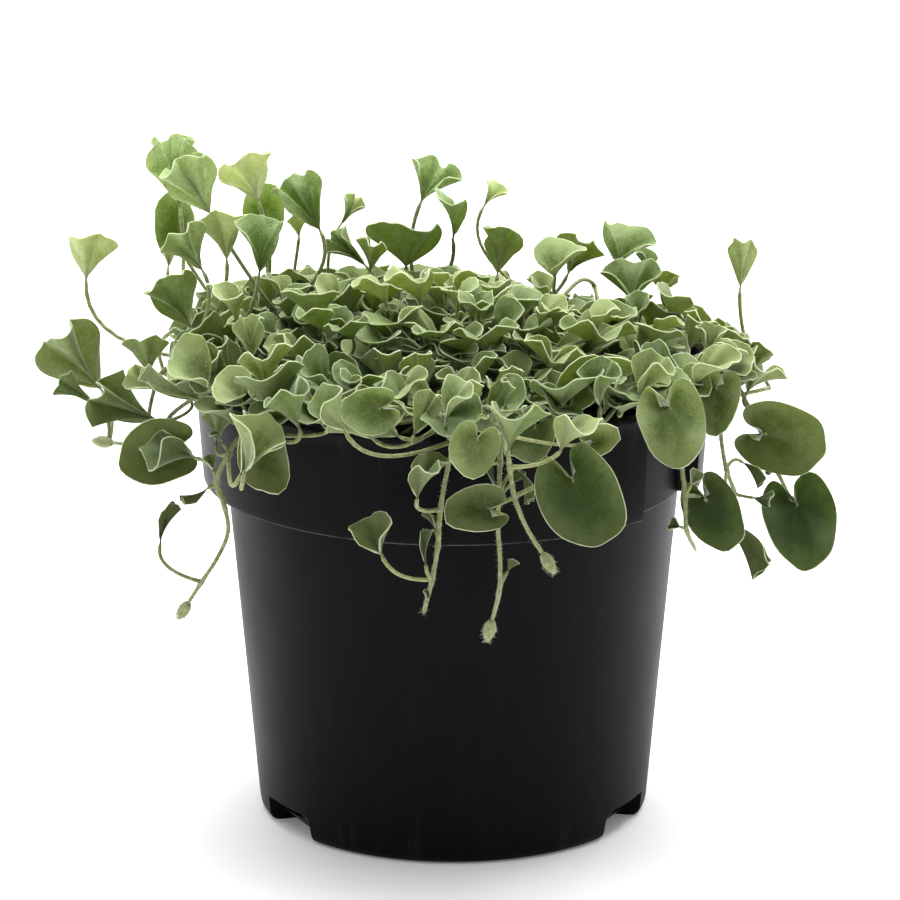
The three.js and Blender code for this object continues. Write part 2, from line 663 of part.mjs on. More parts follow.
// A tube round a line of points, with a radius at each, capped at both ends
function tube(line, radii, sides) {
  const points = [];
  const triangles = [];
  let across = ASKEW.clone();
  line.forEach((place, index) => {
    const next = line[Math.min(index + 1, line.length - 1)];
    const before = line[Math.max(index - 1, 0)];
    const ahead = next.clone().sub(before).normalize();
    across = across.clone().addScaledVector(ahead, -across.dot(ahead)).normalize();
    const other = ahead.clone().cross(across);
    for (let side = 0; side < sides; side += 1) {
      const angle = 2 * Math.PI * side / sides;
      points.push(place.clone()
        .addScaledVector(across, radii[index] * Math.cos(angle))
        .addScaledVector(other, radii[index] * Math.sin(angle)));
    }
  });
  for (let index = 0; index < line.length - 1; index += 1) {
    for (let side = 0; side < sides; side += 1) {
      const a = index * sides + side;
      const b = index * sides + (side + 1) % sides;
      triangles.push([a, b, b + sides], [a, b + sides, a + sides]);
    }
  }
  const last = (line.length - 1) * sides;
  for (let side = 1; side < sides - 1; side += 1) {
    triangles.push([0, side + 1, side], [last, last + side, last + side + 1]);
  }
  return facets(points, triangles);
}

// The corners of a blade's two faces along its rim, half a thickness to either side
function bladeFaces(leaf, steps) {
  const rim = [];
  for (let step = 0; step <= steps; step += 1) rim.push(ruling(leaf, -1 + 2 * step / steps));
  const facing = rim.slice(1).map((corner, index) => rim[index].clone().cross(corner).normalize());
  const half = BLADE.thickness / 2;
  const shift = (corner, index, amount) => {
    const before = facing[Math.max(index - 1, 0)];
    const after = facing[Math.min(index, steps - 1)];
    const normal = before.clone().add(after).normalize();
    return corner.clone().addScaledVector(normal, amount).add(leaf.foot);
  };
  return {
    outer: rim.map((corner, index) => shift(corner, index, -half)),
    inner: rim.map((corner, index) => shift(corner, index, half)),
  };
}

// The three-sided rings of a leafstalk, from the foot of the blade down to the stem
function stalkRings(leaf) {
  const ahead = arrival(leaf);
  let across = leaf.midrib.clone().addScaledVector(ahead, -leaf.midrib.dot(ahead)).normalize();
  const line = [...leaf.stalk].reverse();
  return line.map((place, index) => {
    const next = line[Math.min(index + 1, line.length - 1)];
    const before = line[Math.max(index - 1, 0)];
    const up = index ? before.clone().sub(next).normalize() : ahead;
    across = across.clone().addScaledVector(up, -across.dot(up)).normalize();
    const other = up.clone().cross(across);
    return [-1, 0, 1].map((corner) => {
      const angle = corner * 2 * Math.PI / 3;
      return place.clone()
        .addScaledVector(across, STALK.radius * Math.cos(angle))
        .addScaledVector(other, STALK.radius * Math.sin(angle));
    });
  });
}

// A leaf with its stalk as one closed skin: a fan of facets on each face, split alike, a rim between
// them, and the outer face growing out of the top ring of the stalk
function leafFacets(leaf) {
  const steps = BLADE.steps.find(([size]) => leaf.size < size)[1];
  const { outer, inner } = bladeFaces(leaf, steps);
  const rings = stalkRings(leaf);
  const top = leaf.foot.clone().addScaledVector(leaf.axis, BLADE.thickness * BLADE.root);
  const points = [top, ...outer, ...inner, ...rings.flat()];
  const low = 1;
  const high = low + outer.length;
  const ring = high + inner.length;
  const ringCorner = (step) => {
    const angle = leaf.wrap * (-1 + (2 * step + 1) / steps);
    return Math.abs(angle) < Math.PI / 3 ? 1 : 1 + Math.sign(angle);
  };
  const triangles = [
    [ring, low, high], [ring, high, 0], [ring + 2, high + steps, low + steps],
    [ring + 2, 0, high + steps], [ring + 2, ring, 0],
  ];
  for (let step = 0; step < steps; step += 1) {
    const a = low + step;
    const b = high + step;
    const corner = ringCorner(step);
    triangles.push([ring + corner, a + 1, a], [0, b, b + 1], [a, a + 1, b + 1], [a, b + 1, b]);
    const next = step + 1 < steps ? ringCorner(step + 1) : 2;
    if (next !== corner) triangles.push([ring + corner, ring + next, a + 1]);
  }
  for (let index = 0; index < rings.length - 1; index += 1) {
    for (let corner = 0; corner < 3; corner += 1) {
      const a = ring + 3 * index + corner;
      const b = ring + 3 * index + (corner + 1) % 3;
      triangles.push([a, a + 3, b + 3], [a, b + 3, b]);
    }
  }
  const last = ring + 3 * (rings.length - 1);
  triangles.push([last, last + 2, last + 1]);
  return facets(points, triangles);
}

// A hairy bud at the tip of a stem
function bud(stem) {
  const tip = stem.points[stem.points.length - 1];
  const ahead = tip.clone().sub(stem.points[stem.points.length - 2]).normalize();
  const line = BUD.steps.map((step) => tip.clone().addScaledVector(ahead, step));
  return tube(line, BUD.radii, BUD.sides);
}

function stemSolid(stem) {
  const last = stem.points.length - 1;
  const radii = stem.points.map((point, index) => STEM.radius - STEM.thinning * index / last);
  const pieces = [tube(stem.points, radii, STEM.sides)];
  if (stem.tip) pieces.push(bud(stem));
  stem.leaves.forEach((leaf) => pieces.push(leafFacets(leaf)));
  return pieces.map(solidOf).reduce((whole, piece) => whole.add(piece));
}

// A ring or disc turned from its outline of [radius, height] points
function turned(outline, sides) {
  const profile = outline.map(([radius, height]) => new THREE.Vector2(radius, height));
  return new THREE.LatheGeometry(profile, sides).rotateX(Math.PI / 2);
}

// A wedge of the space round the axis, between two radii, two heights and two angles in degrees
function sector(inner, outer, low, high, start, span) {
  const arc = (radius) => {
    const corners = [];
    for (let step = 0; step <= RECESS.steps; step += 1) {
      const angle = (start + span * step / RECESS.steps) * DEGREE;
      corners.push(new THREE.Vector2(radius * Math.cos(angle), radius * Math.sin(angle)));
    }
    return corners;
  };
  const shape = new THREE.Shape([...arc(outer), ...arc(inner).reverse()]);
  return new THREE.ExtrudeGeometry(shape, { depth: high - low, bevelEnabled: false }).translate(0, 0, low);
}

// The wedge that a drain notch takes out of the corner of the base, grown by a margin on every side
function notchWedge(angle, margin) {
  const foot = POT.baseRadius - NOTCH.depth - margin;
  const lip = POT.baseRadius + PAST.side;
  const side = new THREE.Shape([
    new THREE.Vector2(foot, -PAST.under),
    new THREE.Vector2(lip, -PAST.under),
    new THREE.Vector2(lip, NOTCH.height + margin),
    new THREE.Vector2(foot + NOTCH.slope, NOTCH.height + margin),
  ]);
  const width = NOTCH.width + 2 * margin;
  return new THREE.ExtrudeGeometry(side, { depth: width, bevelEnabled: false })
    .rotateX(Math.PI / 2)
    .translate(0, width / 2, 0)
    .rotateZ(angle * DEGREE);
}

// The slot through which a drain notch opens into the pot
function notchSlot(angle) {
  return new THREE.BoxGeometry(SLOT.depth, SLOT.width, SLOT.height)
    .translate(POT.baseRadius - SLOT.inset, 0, NOTCH.height - SLOT.drop - SLOT.height / 2)
    .rotateZ(angle * DEGREE);
}

function potOutside() {
  const corner = POT.baseCorner;
  const bend = corner * (1 - Math.SQRT1_2);
  const lipFoot = POT.rimHeight - POT.lipHeight;
  return turned([
    [0, 0], [POT.baseRadius - corner, 0], [POT.baseRadius - bend, bend], [POT.baseRadius, corner],
    [POT.bodyTopRadius, POT.collarBottom], [POT.collarBottomRadius, POT.collarBottom],
    [POT.collarTopRadius, lipFoot - POT.lipFillet], [POT.lipRadius, lipFoot],
    [POT.lipRadius, POT.rimHeight - POT.lipRound], [POT.lipRadius - POT.lipRound, POT.rimHeight],
    [0, POT.rimHeight],
  ], POT.sides);
}

// The space inside the pot, narrowed by a margin all round
function potInside(margin, sides) {
  const step = POT.collarBottom + POT.wall + margin;
  const bottom = POT.floor + margin;
  const inset = POT.wall + margin;
  const base = POT.baseRadius - inset;
  return turned([
    [0, bottom], [base - POT.innerCorner, bottom], [base, bottom + POT.innerCorner],
    [POT.bodyTopRadius - inset, step], [POT.collarBottomRadius - inset, step],
    [POT.collarTopRadius - inset, POT.rimHeight + PAST.top], [0, POT.rimHeight + PAST.top],
  ], sides);
}

// The recess wedge, grown inwards and sideways by a margin
function recessWedge(start, margin) {
  const side = margin / POT.collarBottomRadius / DEGREE;
  const low = POT.collarBottom - margin;
  const inner = RECESS.radius - margin;
  const outer = POT.lipRadius + PAST.side;
  return sector(inner, outer, low, POT.rimHeight + PAST.top, start - side, RECESS.span + 2 * side);
}

function potSolid() {
  let outside = solidOf(potOutside());
  let inside = solidOf(potInside(0, POT.sides));
  RECESS.starts.forEach((start) => {
    outside = outside.subtract(solidOf(recessWedge(start, 0)));
    inside = inside.subtract(solidOf(recessWedge(start, POT.wall)));
  });
  NOTCH.angles.forEach((angle) => {
    outside = outside.subtract(solidOf(notchWedge(angle, 0)));
    inside = inside.subtract(solidOf(notchWedge(angle, POT.wall)));
  });
  let pot = outside.subtract(inside);
  NOTCH.angles.forEach((angle) => {
    pot = pot.subtract(solidOf(notchSlot(angle)));
  });
  return pot;
}

// The soil fills the pot to a low mound, with a blind hole for each stem
function soilSolid(stems) {
  const top = MOUND.map(([radius, rise]) => [radius, SOIL.top + rise]);
  const heap = turned([[0, 0], [MOUND[0][0], 0], ...top], SOIL.sides);
  let soil = solidOf(potInside(SOIL.clearance, SOIL.sides)).intersect(solidOf(heap));
  RECESS.starts.forEach((start) => {
    soil = soil.subtract(solidOf(recessWedge(start, POT.wall + SOIL.clearance)));
  });
  NOTCH.angles.forEach((angle) => {
    soil = soil.subtract(solidOf(notchWedge(angle, POT.wall + SOIL.clearance)));
  });
  stems.forEach(({ root }) => {
    const radius = (STEM.radius + SOIL.holeGap) * Math.SQRT2;
    const hole = new THREE.CylinderGeometry(radius, radius, SOIL.holeReach, STEM.sides)
      .rotateX(Math.PI / 2)
      .translate(root.x, root.y, SOIL.top - SOIL.holeDepth + SOIL.holeReach / 2);
    soil = soil.subtract(solidOf(hole));
  });
  return soil;
}

const stems = growPlant();
const group = new THREE.Group();
group.add(meshOf(potSolid(), 'pot', PLASTIC));
group.add(meshOf(soilSolid(stems), 'soil', PEAT));
stems.forEach((stem, index) => {
  group.add(meshOf(stemSolid(stem), `stem_${String(index + 1).padStart(2, '0')}`, LEAF));
});

export default group;
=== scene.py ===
"""Potted silver falls dichondra: fine leafy stems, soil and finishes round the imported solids."""

import math

import bpy
import numpy as np
from bpy.props import FloatProperty, FloatVectorProperty, IntProperty, PointerProperty
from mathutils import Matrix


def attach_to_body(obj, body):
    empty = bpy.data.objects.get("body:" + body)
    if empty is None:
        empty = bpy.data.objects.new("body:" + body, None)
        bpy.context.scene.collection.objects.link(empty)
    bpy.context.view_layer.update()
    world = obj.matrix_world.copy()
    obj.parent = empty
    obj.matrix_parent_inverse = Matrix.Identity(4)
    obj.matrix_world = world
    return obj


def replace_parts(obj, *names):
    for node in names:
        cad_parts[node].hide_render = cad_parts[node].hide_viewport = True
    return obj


bl_info = {
    "name": "Potted silver falls dichondra",
    "version": (1, 0, 0),
    "blender": (4, 5, 0),
    "location": "View3D > Sidebar > Dichondra",
    "description": "Builds a trailing silver-leaved plant in a black nursery pot",
    "category": "Add Mesh",
}

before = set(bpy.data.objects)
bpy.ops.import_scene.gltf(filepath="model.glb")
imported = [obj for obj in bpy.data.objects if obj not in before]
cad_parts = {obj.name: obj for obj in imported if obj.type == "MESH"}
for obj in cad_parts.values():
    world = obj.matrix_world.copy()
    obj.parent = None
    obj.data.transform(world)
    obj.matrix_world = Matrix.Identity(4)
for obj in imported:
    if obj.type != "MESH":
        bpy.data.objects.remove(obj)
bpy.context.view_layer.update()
MM = 0.001

# Driving dimensions in millimetres, the same as those of the solids
POT = dict(
    rim_height=128.3, lip_height=1.8, lip_radius=73.0, collar_top=72.0, collar_bottom=70.0, collar_foot=96.8,
    body_top=63.4, base=55.0, corner=3.0, wall=1.6, floor=2.4,
)
RECESS = dict(starts=(-42.0, 138.0), span=26.0, radius=64.9)
NOTCH = dict(angles=(-148.0, -28.0, 90.0), width=22.0, height=8.5, depth=9.0, slope=10.5)
SLOT = dict(width=16.0, height=2.2, depth=8.0, drop=0.6, inset=1.0)
SOIL = dict(top=113.0, mound=4.0, hole_depth=7.0)
MOUND = ((73.0, -2.0), (55.0, 0.5), (35.0, 1.5), (0.0, 1.0))
STEM = dict(radius=0.85, count=36, spread=54.0, over_rim=40.0, step=10.0)
STALK = dict(below=0.75, arch=0.45, bend=0.2, shortest=3.0, long=24.0, attachments=20)
THIN_STEP = 1.6
GOLDEN_ANGLE = math.radians(137.5)

# Ways of the stems by rule: each place as (times the root's radius, mm more, height in mm)
INSIDE_WAY = ((1.15, 2, 124), (1.35, 6, 130), (1.5, 12, 137))
OUTSIDE_WAY = ((1, 6, 125), (0, 71, 135), (0, 83, 130), (0, 87, 117))
STRAY = dict(stem=4.0, stem_more=0.35, stem_tries=40, nearest=20.0)
TRAIL_STRAY = dict(least=1.0, more=0.4, tries=30)
LEAVE = dict(roots=9, share=0.4, over_soil=14.0, over_rim=4.0, steady=0.35)
REACH = dict(seen=52.0, seen_rounds=8, dome=34.0, dome_rounds=4)
SLIDE = dict(steps=17, step=2.5)
SAMPLE_STEP = 2.6
CONE = dict(deep=0.9, broad=1.0, taper=0.16)
KIDNEY = dict(open=80.0, wrap=150.0, toward=76.0, deep=1.0, broad=0.58, taper=0.5)
ROOM = dict(blade=1.4, stalk=0.95, stem=1.1)
CAMERA = dict(distance=1527.0, height=551.6, pitch=16.36, focal=5677.0, axis=453.2, middle=450.0)
SEEDS = dict(blades=7, trails=33, stems=44, stalks=55, dome=21)

# Blades read from the photograph: foot (pixels across and down), depth behind the pot's axis in mm,
# width and height in mm, lean in degrees. FANS show their outer face.
FANS = (
    (211, 215, 22, 17, 17, -30), (259, 203, 30, 18, 13, -20), (204, 273, 8, 15, 13, -32),
    (227, 263, 14, 16, 13.5, -4), (86, 280, -6, 16, 12, 4), (150, 375, -22, 14, 10, -6),
    (193, 331, -8, 17, 16, -28), (103, 392, -12, 21, 20, -38), (163, 423, -30, 16, 20, -68),
    (497, 277, 30, 12, 14, 8), (406, 267, 36, 25, 11, 3), (567, 276, 32, 14, 11, 22),
    (662, 293, 30, 10, 6, 10), (600, 356, 2, 11, 14.5, 0), (484, 322, 14, 9, 13, -14),
    (99, 407, -20, 8, 13, -54), (740, 290, 8, 9, 14, 4), (216, 446, -52, 8, 9, 6),
    (752, 369, -2, 8, 7, 35), (564, 409, -42, 15, 15, 6), (462, 420, -62, 12, 10, 4),
    (440, 351, -4, 14, 11, 8), (374, 440, -76, 14, 12, -46), (238, 388, -34, 15, 13, -32),
    (385, 389, -42, 13, 10, 0), (424, 391, -50, 11, 10, -12), (400, 437, -80, 8, 9, -62),
    (510, 409, -60, 8, 11, 2),
)
FAN_SET = dict(toward=-4, turn=0, swing=24, wrap=100, broad=1)

# OPENS show their inner face.
OPENS = (
    (180, 209, 36, 17, 20, -8), (321, 232, 34, 16, 17, -28), (259, 276, 10, 16, 16, 6),
    (421, 202, 44, 17, 12, 22), (617, 266, 36, 20, 11, 14), (339, 227, 48, 7, 10, 34),
    (484, 206, 50, 8, 7.5, 32), (251, 361, -34, 10, 12, -2), (368, 361, -24, 8, 12, -8),
    (388, 330, -10, 7, 7, 0), (368, 268, 26, 9, 14, -48), (168, 392, -40, 9, 12, -60),
    (168, 268, 20, 6, 6, 5), (705, 368, -20, 9, 12, 10), (636, 366, -26, 12, 11, -6),
    (472, 413, -66, 9, 10, 0), (413, 437, -78, 8, 13, 24), (405, 412, -66, 8, 10, -14),
    (528, 362, -22, 12, 6, 0), (571, 363, -20, 9, 6, 10),
)
OPEN_SET = dict(toward=12, turn=180, swing=24, wrap=85, broad=1)

# CUPS are open upwards, so both faces show.
CUPS = (
    (236, 322, -14, 16, 11, -6), (374, 328, -6, 12, 14, 8), (352, 323, -2, 14, 12, -10),
    (453, 240, 40, 14, 14, 2), (370, 272, 30, 9, 10, 8), (555, 279, 26, 19, 9, -2),
    (545, 304, 16, 11, 8, 0), (633, 304, 20, 17, 11, -4), (648, 276, 34, 10, 7, 8),
    (668, 325, 6, 14, 11, 16), (698, 345, -4, 13, 10, 14), (290, 322, 0, 14, 10, -8),
    (515, 348, -6, 13, 9, 0), (640, 330, 8, 10, 10, -8), (299, 238, 38, 8, 8, -4),
    (440, 306, 16, 12, 8, -6), (300, 372, -36, 12, 11, -4), (560, 338, 0, 10, 8, 4),
    (417, 500, -84, 14, 12, 8), (382, 556, -88, 14, 10, -28), (240, 476, -66, 14, 16, 24),
    (690, 384, -30, 13, 10, 6), (518, 392, -44, 11, 10, -4), (340, 345, -20, 12, 10, 2),
    (453, 387, -46, 11, 9, 4), (481, 384, -44, 10, 8, -8), (489, 358, -20, 11, 8, 4),
    (318, 323, 4, 11, 7, 0),
)
CUP_SET = dict(toward=20, turn=180, swing=360, wrap=130, broad=1)

# KIDNEYS face the viewer, with the midrib along the lean.
KIDNEYS = (
    (573, 480, -88, 22, 21, 156), (535, 428, -76, 13, 12, 215), (477, 440, -78, 13, 12, 200),
    (488, 508, -86, 13, 13, 262), (670, 408, -70, 18, 18, 172), (765, 434, -30, 19, 20, 108),
    (797, 504, -34, 20, 20, 168), (176, 236, 46, 12, 14, -6), (264, 221, 42, 12, 13, 2),
    (172, 450, -36, 18, 16, 262), (262, 446, -70, 14, 15, 168), (716, 388, -26, 14, 14, 190),
    (594, 442, -84, 9, 8, 60), (576, 390, -62, 12, 12, 40), (330, 374, -44, 15, 12, 150),
)

# FOLDS are shut along the midrib, seen from the side.
FOLDS = (
    (719, 517, -48, 12, 19, 128), (209, 402, -44, 8, 20, -74), (160, 545, -40, 8, 12, 8),
    (426, 566, -86, 5, 10, -10), (742, 462, -36, 7, 8, 120), (208, 488, -46, 7, 8, 230),
    (716, 508, -52, 4, 5, -30), (520, 470, -84, 7, 9, 150), (498, 492, -84, 6, 11, -24),
)
FOLD_SET = dict(toward=10, turn=90, swing=0, wrap=115, broad=0.3)

# Trailing stems that the photograph shows, as (pixels across, down, depth), and the bud at the tip
TRAILS = (
    (((259, 398, -46), (239, 439, -58), (217, 470, -60), (228, 532, -52), (186, 605, -44)), 0.1),
    (((256, 403, -36), (200, 404, -30), (170, 421, -26), (172, 446, -30), (115, 442, -20)), 0.1),
    (((712, 404, -38), (724, 446, -44), (730, 482, -44), (736, 496, -42)), 0),
    (((720, 380, -14), (762, 432, -22), (784, 480, -28), (790, 498, -26)), 0),
    (((672, 430, -56), (682, 470, -62), (687, 530, -60), (692, 550, -58)), 0),
    (((448, 430, -80), (445, 500, -82), (440, 560, -82), (424, 612, -82)), 0),
    (((498, 430, -82), (502, 520, -82), (496, 590, -80), (490, 622, -80)), 1),
    (((510, 440, -84), (518, 500, -86), (530, 540, -87), (544, 560, -88)), 1),
)

# The dome of foliage and the draws of its leaves, each as (start, span)
DOME = dict(radius=90.0, height=46.0, centre=112.0, inset=12.0, count=70, tries=24000)
DOME_SIZE = dict(largest=16.0, shrink=6.0)
DOME_LEAF = dict(
    upward=(1, -1.25), size=(0.62, 0.38), open=(34, 22), wrap=(95, 45), wave=(0.1, 0.08), waves=(2, 2),
    deep=(0.6, 0.35), lean=(-0.25, 0.5), swing=(-0.3, 0.6), turn=(-60, 120), outward=0.55, sink=0.6,
)
HIDDEN = dict(top=372.0, half_width=222.0)
MASS = np.array((
    (165, 330), (205, 280), (300, 264), (450, 262), (560, 290), (700, 304), (765, 335), (765, 380),
    (700, 400), (640, 412), (560, 425), (470, 440), (330, 425), (250, 430), (165, 400),
), float)


def unit(vector):
    """The vector made 1 long."""
    return vector / np.linalg.norm(vector)


PITCH = math.radians(CAMERA["pitch"])
CAMERA_SPOT = np.array((0.0, -CAMERA["distance"], CAMERA["height"]))
FORWARD = np.array((0.0, math.cos(PITCH), -math.sin(PITCH)))
SCREEN_UP = np.array((0.0, math.sin(PITCH), math.cos(PITCH)))
SCREEN_RIGHT = np.array((1.0, 0.0, 0.0))


class Draws:
    """Repeatable numbers from 0 to 1 from a seed, by mixing the bits of a counter."""

    def __init__(self, seed):
        self.state = seed

    def __call__(self):
        self.state = (self.state + 0x6D2B79F5) & 0xFFFFFFFF
        state = self.state
        mixed = ((state ^ (state >> 15)) * (1 | state)) & 0xFFFFFFFF
        mixed = ((mixed + (mixed ^ (mixed >> 7)) * (61 | mixed)) ^ mixed) & 0xFFFFFFFF
        return (mixed ^ (mixed >> 14)) / 4294967296

    def within(self, start, span):
        return start + span * self()

    def jolt(self, width):
        """A random vector in a cube of the given width."""
        return np.array((self() - 0.5, self() - 0.5, self() - 0.5)) * width


def seen(across, down, depth):
    """The place seen at a pixel of the photograph, at a depth in mm behind the pot's axis."""
    ray = FORWARD + SCREEN_RIGHT * (across - CAMERA["axis"]) / CAMERA["focal"]
    ray = ray + SCREEN_UP * (CAMERA["middle"] - down) / CAMERA["focal"]
    return CAMERA_SPOT + ray * (depth + CAMERA["distance"]) / ray[1]


def pixels_of(places):
    """The pixels at which places are seen, as arrays across and down."""
    offset = places - CAMERA_SPOT
    ahead = offset @ FORWARD
    across = CAMERA["axis"] + CAMERA["focal"] * offset[:, 0] / ahead
    return across, CAMERA["middle"] - CAMERA["focal"] * (offset @ SCREEN_UP) / ahead


def turned_axes(axis, near, turn):
    """The axis, the midrib's side and the cross direction of a blade turned about its axis."""
    side = np.cross(axis, near)
    midrib = near * math.cos(math.radians(turn)) + side * math.sin(math.radians(turn))
    return dict(axis=axis, midrib=midrib, cross=np.cross(axis, midrib))


def screen_axes(lean, toward, turn):
    """A blade's axes on the screen: up the blade by its lean, tipped toward the viewer, and turned."""
    lean, toward = math.radians(lean), math.radians(toward)
    heading = SCREEN_RIGHT * math.sin(lean) + SCREEN_UP * math.cos(lean)
    axis = heading * math.cos(toward) - FORWARD * math.sin(toward)
    near = -FORWARD * math.cos(toward) - heading * math.sin(toward)
    return turned_axes(axis, near, turn)


def rulings(leaf, s):
    """The vectors from a blade's foot to its rim at s, from -1 to 1 across it: a waved cone.

    Its half angle is open plus wave times the cosine of waves times s times pi plus phase, it wraps
    round the axis by wrap times s, and it shortens by taper times the 2.5th power of s.
    """
    opening = leaf["open"] + leaf["wave"] * np.cos(leaf["waves"] * s * math.pi + leaf["phase"])
    around = leaf["wrap"] * s
    length = leaf["size"] * (1 - leaf["taper"] * np.abs(s) ** 2.5)
    up = np.outer(np.cos(opening), leaf["axis"])
    up += np.outer(np.sin(opening) * np.cos(around) * leaf["deep"], leaf["midrib"])
    up += np.outer(np.sin(opening) * np.sin(around) * leaf["broad"], leaf["cross"])
    return up * length[:, None]


def cone_shape(wide, tall, draws):
    """Cone angle and size from a blade's width and height as seen from its side."""
    return dict(
        CONE, size=math.hypot(wide / 2, tall), open=math.atan2(wide / 2, tall),
        wave=draws.within(0.1, 0.07), waves=math.floor(draws.within(2, 2)), phase=2 * math.pi * draws(),
    )


def blade_samples(leaf):
    """Points all over a blade, each a sample step apart at most."""
    rings = math.ceil(leaf["size"] / SAMPLE_STEP)
    across, reach = [], []
    for ring in range(1, rings + 1):
        arc = 2 * leaf["wrap"] * math.sin(leaf["open"]) * leaf["size"] * ring / rings
        steps = max(2, math.ceil(arc / SAMPLE_STEP))
        across.append(-1 + 2 * np.arange(steps + 1) / steps)
        reach.append(np.full(steps + 1, ring / rings))
    return rulings(leaf, np.concatenate(across)) * np.concatenate(reach)[:, None] + leaf["foot"]


def hits_pot(points, room):
    """True where any point is within the room of the pot's wall or the soil."""
    radius = np.hypot(points[:, 0], points[:, 1])
    height = points[:, 2]
    near = (height <= POT["rim_height"] + room) & (radius <= POT["lip_radius"] + room)
    low = height < POT["collar_foot"] - room
    on_body = low & (radius < POT["body_top"] + room)
    on_wall = ~low & (radius > POT["body_top"] - POT["wall"] - room)
    in_soil = ~low & (height < SOIL["top"] + SOIL["mound"] + room)
    return bool(np.any(near & (on_body | on_wall | in_soil)))


class Crowd:
    """Everything placed so far, as groups of sample points with the room that they keep."""

    def __init__(self):
        self.groups = []
        self.balls = np.zeros((4000, 5))

    def place(self, points, room, stem, leaf):
        centre = points.mean(axis=0)
        reach = np.sqrt(((points - centre) ** 2).sum(axis=1).max())
        self.balls[len(self.groups)] = (*centre, reach, room)
        self.groups.append(dict(points=points, room=room, stem=stem, leaf=leaf))

    def drop(self, leaf):
        for index, group in enumerate(self.groups):
            if group["leaf"] is leaf:
                self.balls[index, :3] = 1e6
                return

    def is_clear(self, points, room, stem=None, leaf=None, squeeze=1.0):
        """True where the points keep clear of the pot, the soil and what is placed already."""
        if hits_pot(points, room):
            return False
        centre = points.mean(axis=0)
        reach = np.sqrt(((points - centre) ** 2).sum(axis=1).max())
        balls = self.balls[:len(self.groups)]
        apart = np.sqrt(((balls[:, :3] - centre) ** 2).sum(axis=1))
        for index in np.flatnonzero(apart <= reach + balls[:, 3] + room + balls[:, 4]):
            group = self.groups[index]
            if (leaf is not None and group["leaf"] is leaf) or (stem is not None and group["stem"] is stem):
                continue
            limit = (room + group["room"]) * squeeze
            near = points[((points - balls[index, :3]) ** 2).sum(axis=1) <= (balls[index, 3] + limit) ** 2]
            if len(near) == 0:
                continue
            gaps = ((near[:, None] - group["points"][None]) ** 2).sum(axis=2)
            if gaps.min() < limit * limit:
                return False
        return True


def cone_row(row, draws, way):
    """A row of FANS, OPENS, CUPS or FOLDS as a shape with its axes, turned by its table's way."""
    across, down, depth, wide, tall, lean = row
    turn = way["turn"] + way["swing"] * (draws() - 0.5) if way["swing"] else way["turn"]
    shape = dict(cone_shape(wide, tall, draws), wrap=math.radians(way["wrap"]), broad=way["broad"])
    return dict(pixel=(across, down), depth=depth, axes=screen_axes(lean, way["toward"], turn), shape=shape)


def kidney_row(row, draws):
    """A row of KIDNEYS as a nearly flat, broad shape with its axes."""
    across, down, depth, wide, tall, heading = row
    shape = dict(
        cone_shape(wide, tall, draws), size=tall, open=math.radians(KIDNEY["open"]), deep=KIDNEY["deep"],
        wrap=math.radians(KIDNEY["wrap"]), broad=KIDNEY["broad"] * wide / tall, taper=KIDNEY["taper"],
    )
    axes = screen_axes(heading - 180, KIDNEY["toward"], 0)
    return dict(pixel=(across, down), depth=depth, axes=axes, shape=shape)


def slid_leaves(row):
    """Leaves for a row, each slid a little further along the line of sight, toward and away."""
    for step in range(SLIDE["steps"]):
        slide = (1 if step % 2 else -1) * math.ceil(step / 2) * SLIDE["step"]
        yield dict(row["axes"], **row["shape"], foot=seen(*row["pixel"], row["depth"] + slide), row=row)


def slide_clear(row, crowd, test):
    """The first leaf along the line of sight whose blade is clear and that passes the test."""
    for leaf in slid_leaves(row):
        samples = blade_samples(leaf)
        if crowd.is_clear(samples, ROOM["blade"]) and test(leaf):
            crowd.place(samples, ROOM["blade"], None, leaf)
            return leaf
    return None


def seen_leaves(crowd):
    """Blades from the photograph, each slid along the line of sight until it is clear."""
    draws = Draws(SEEDS["blades"])
    rows = [kidney_row(row, draws) for row in KIDNEYS]
    for table, way in ((FOLDS, FOLD_SET), (FANS, FAN_SET), (OPENS, OPEN_SET), (CUPS, CUP_SET)):
        rows += [cone_row(row, draws, way) for row in table]
    leaves = [slide_clear(row, crowd, lambda leaf: True) for row in rows]
    return [leaf for leaf in leaves if leaf]


def root_place(index):
    """A stem's place in the soil: the next seed of a sunflower's pattern."""
    radius = STEM["spread"] * math.sqrt((index + 0.5) / STEM["count"])
    around = index * GOLDEN_ANGLE
    return np.array((radius * math.cos(around), radius * math.sin(around), SOIL["top"]))


def stem_way(root, draws, stray):
    """A stem's way: out of its hole, then outwards, and over the rim where it starts near it."""
    radius = math.hypot(root[0], root[1])
    around = math.atan2(root[1], root[0])
    way = []
    for times, more, height in INSIDE_WAY if radius < STEM["over_rim"] else OUTSIDE_WAY:
        reach = radius * times + more
        angle = around + stray * (draws() - 0.5) / max(reach, STRAY["nearest"])
        x = (reach + stray * (draws() - 0.5)) * math.cos(angle)
        y = (reach + stray * (draws() - 0.5)) * math.sin(angle)
        way.append(np.array((x, y, height + stray * (draws() - 0.5))))
    return way


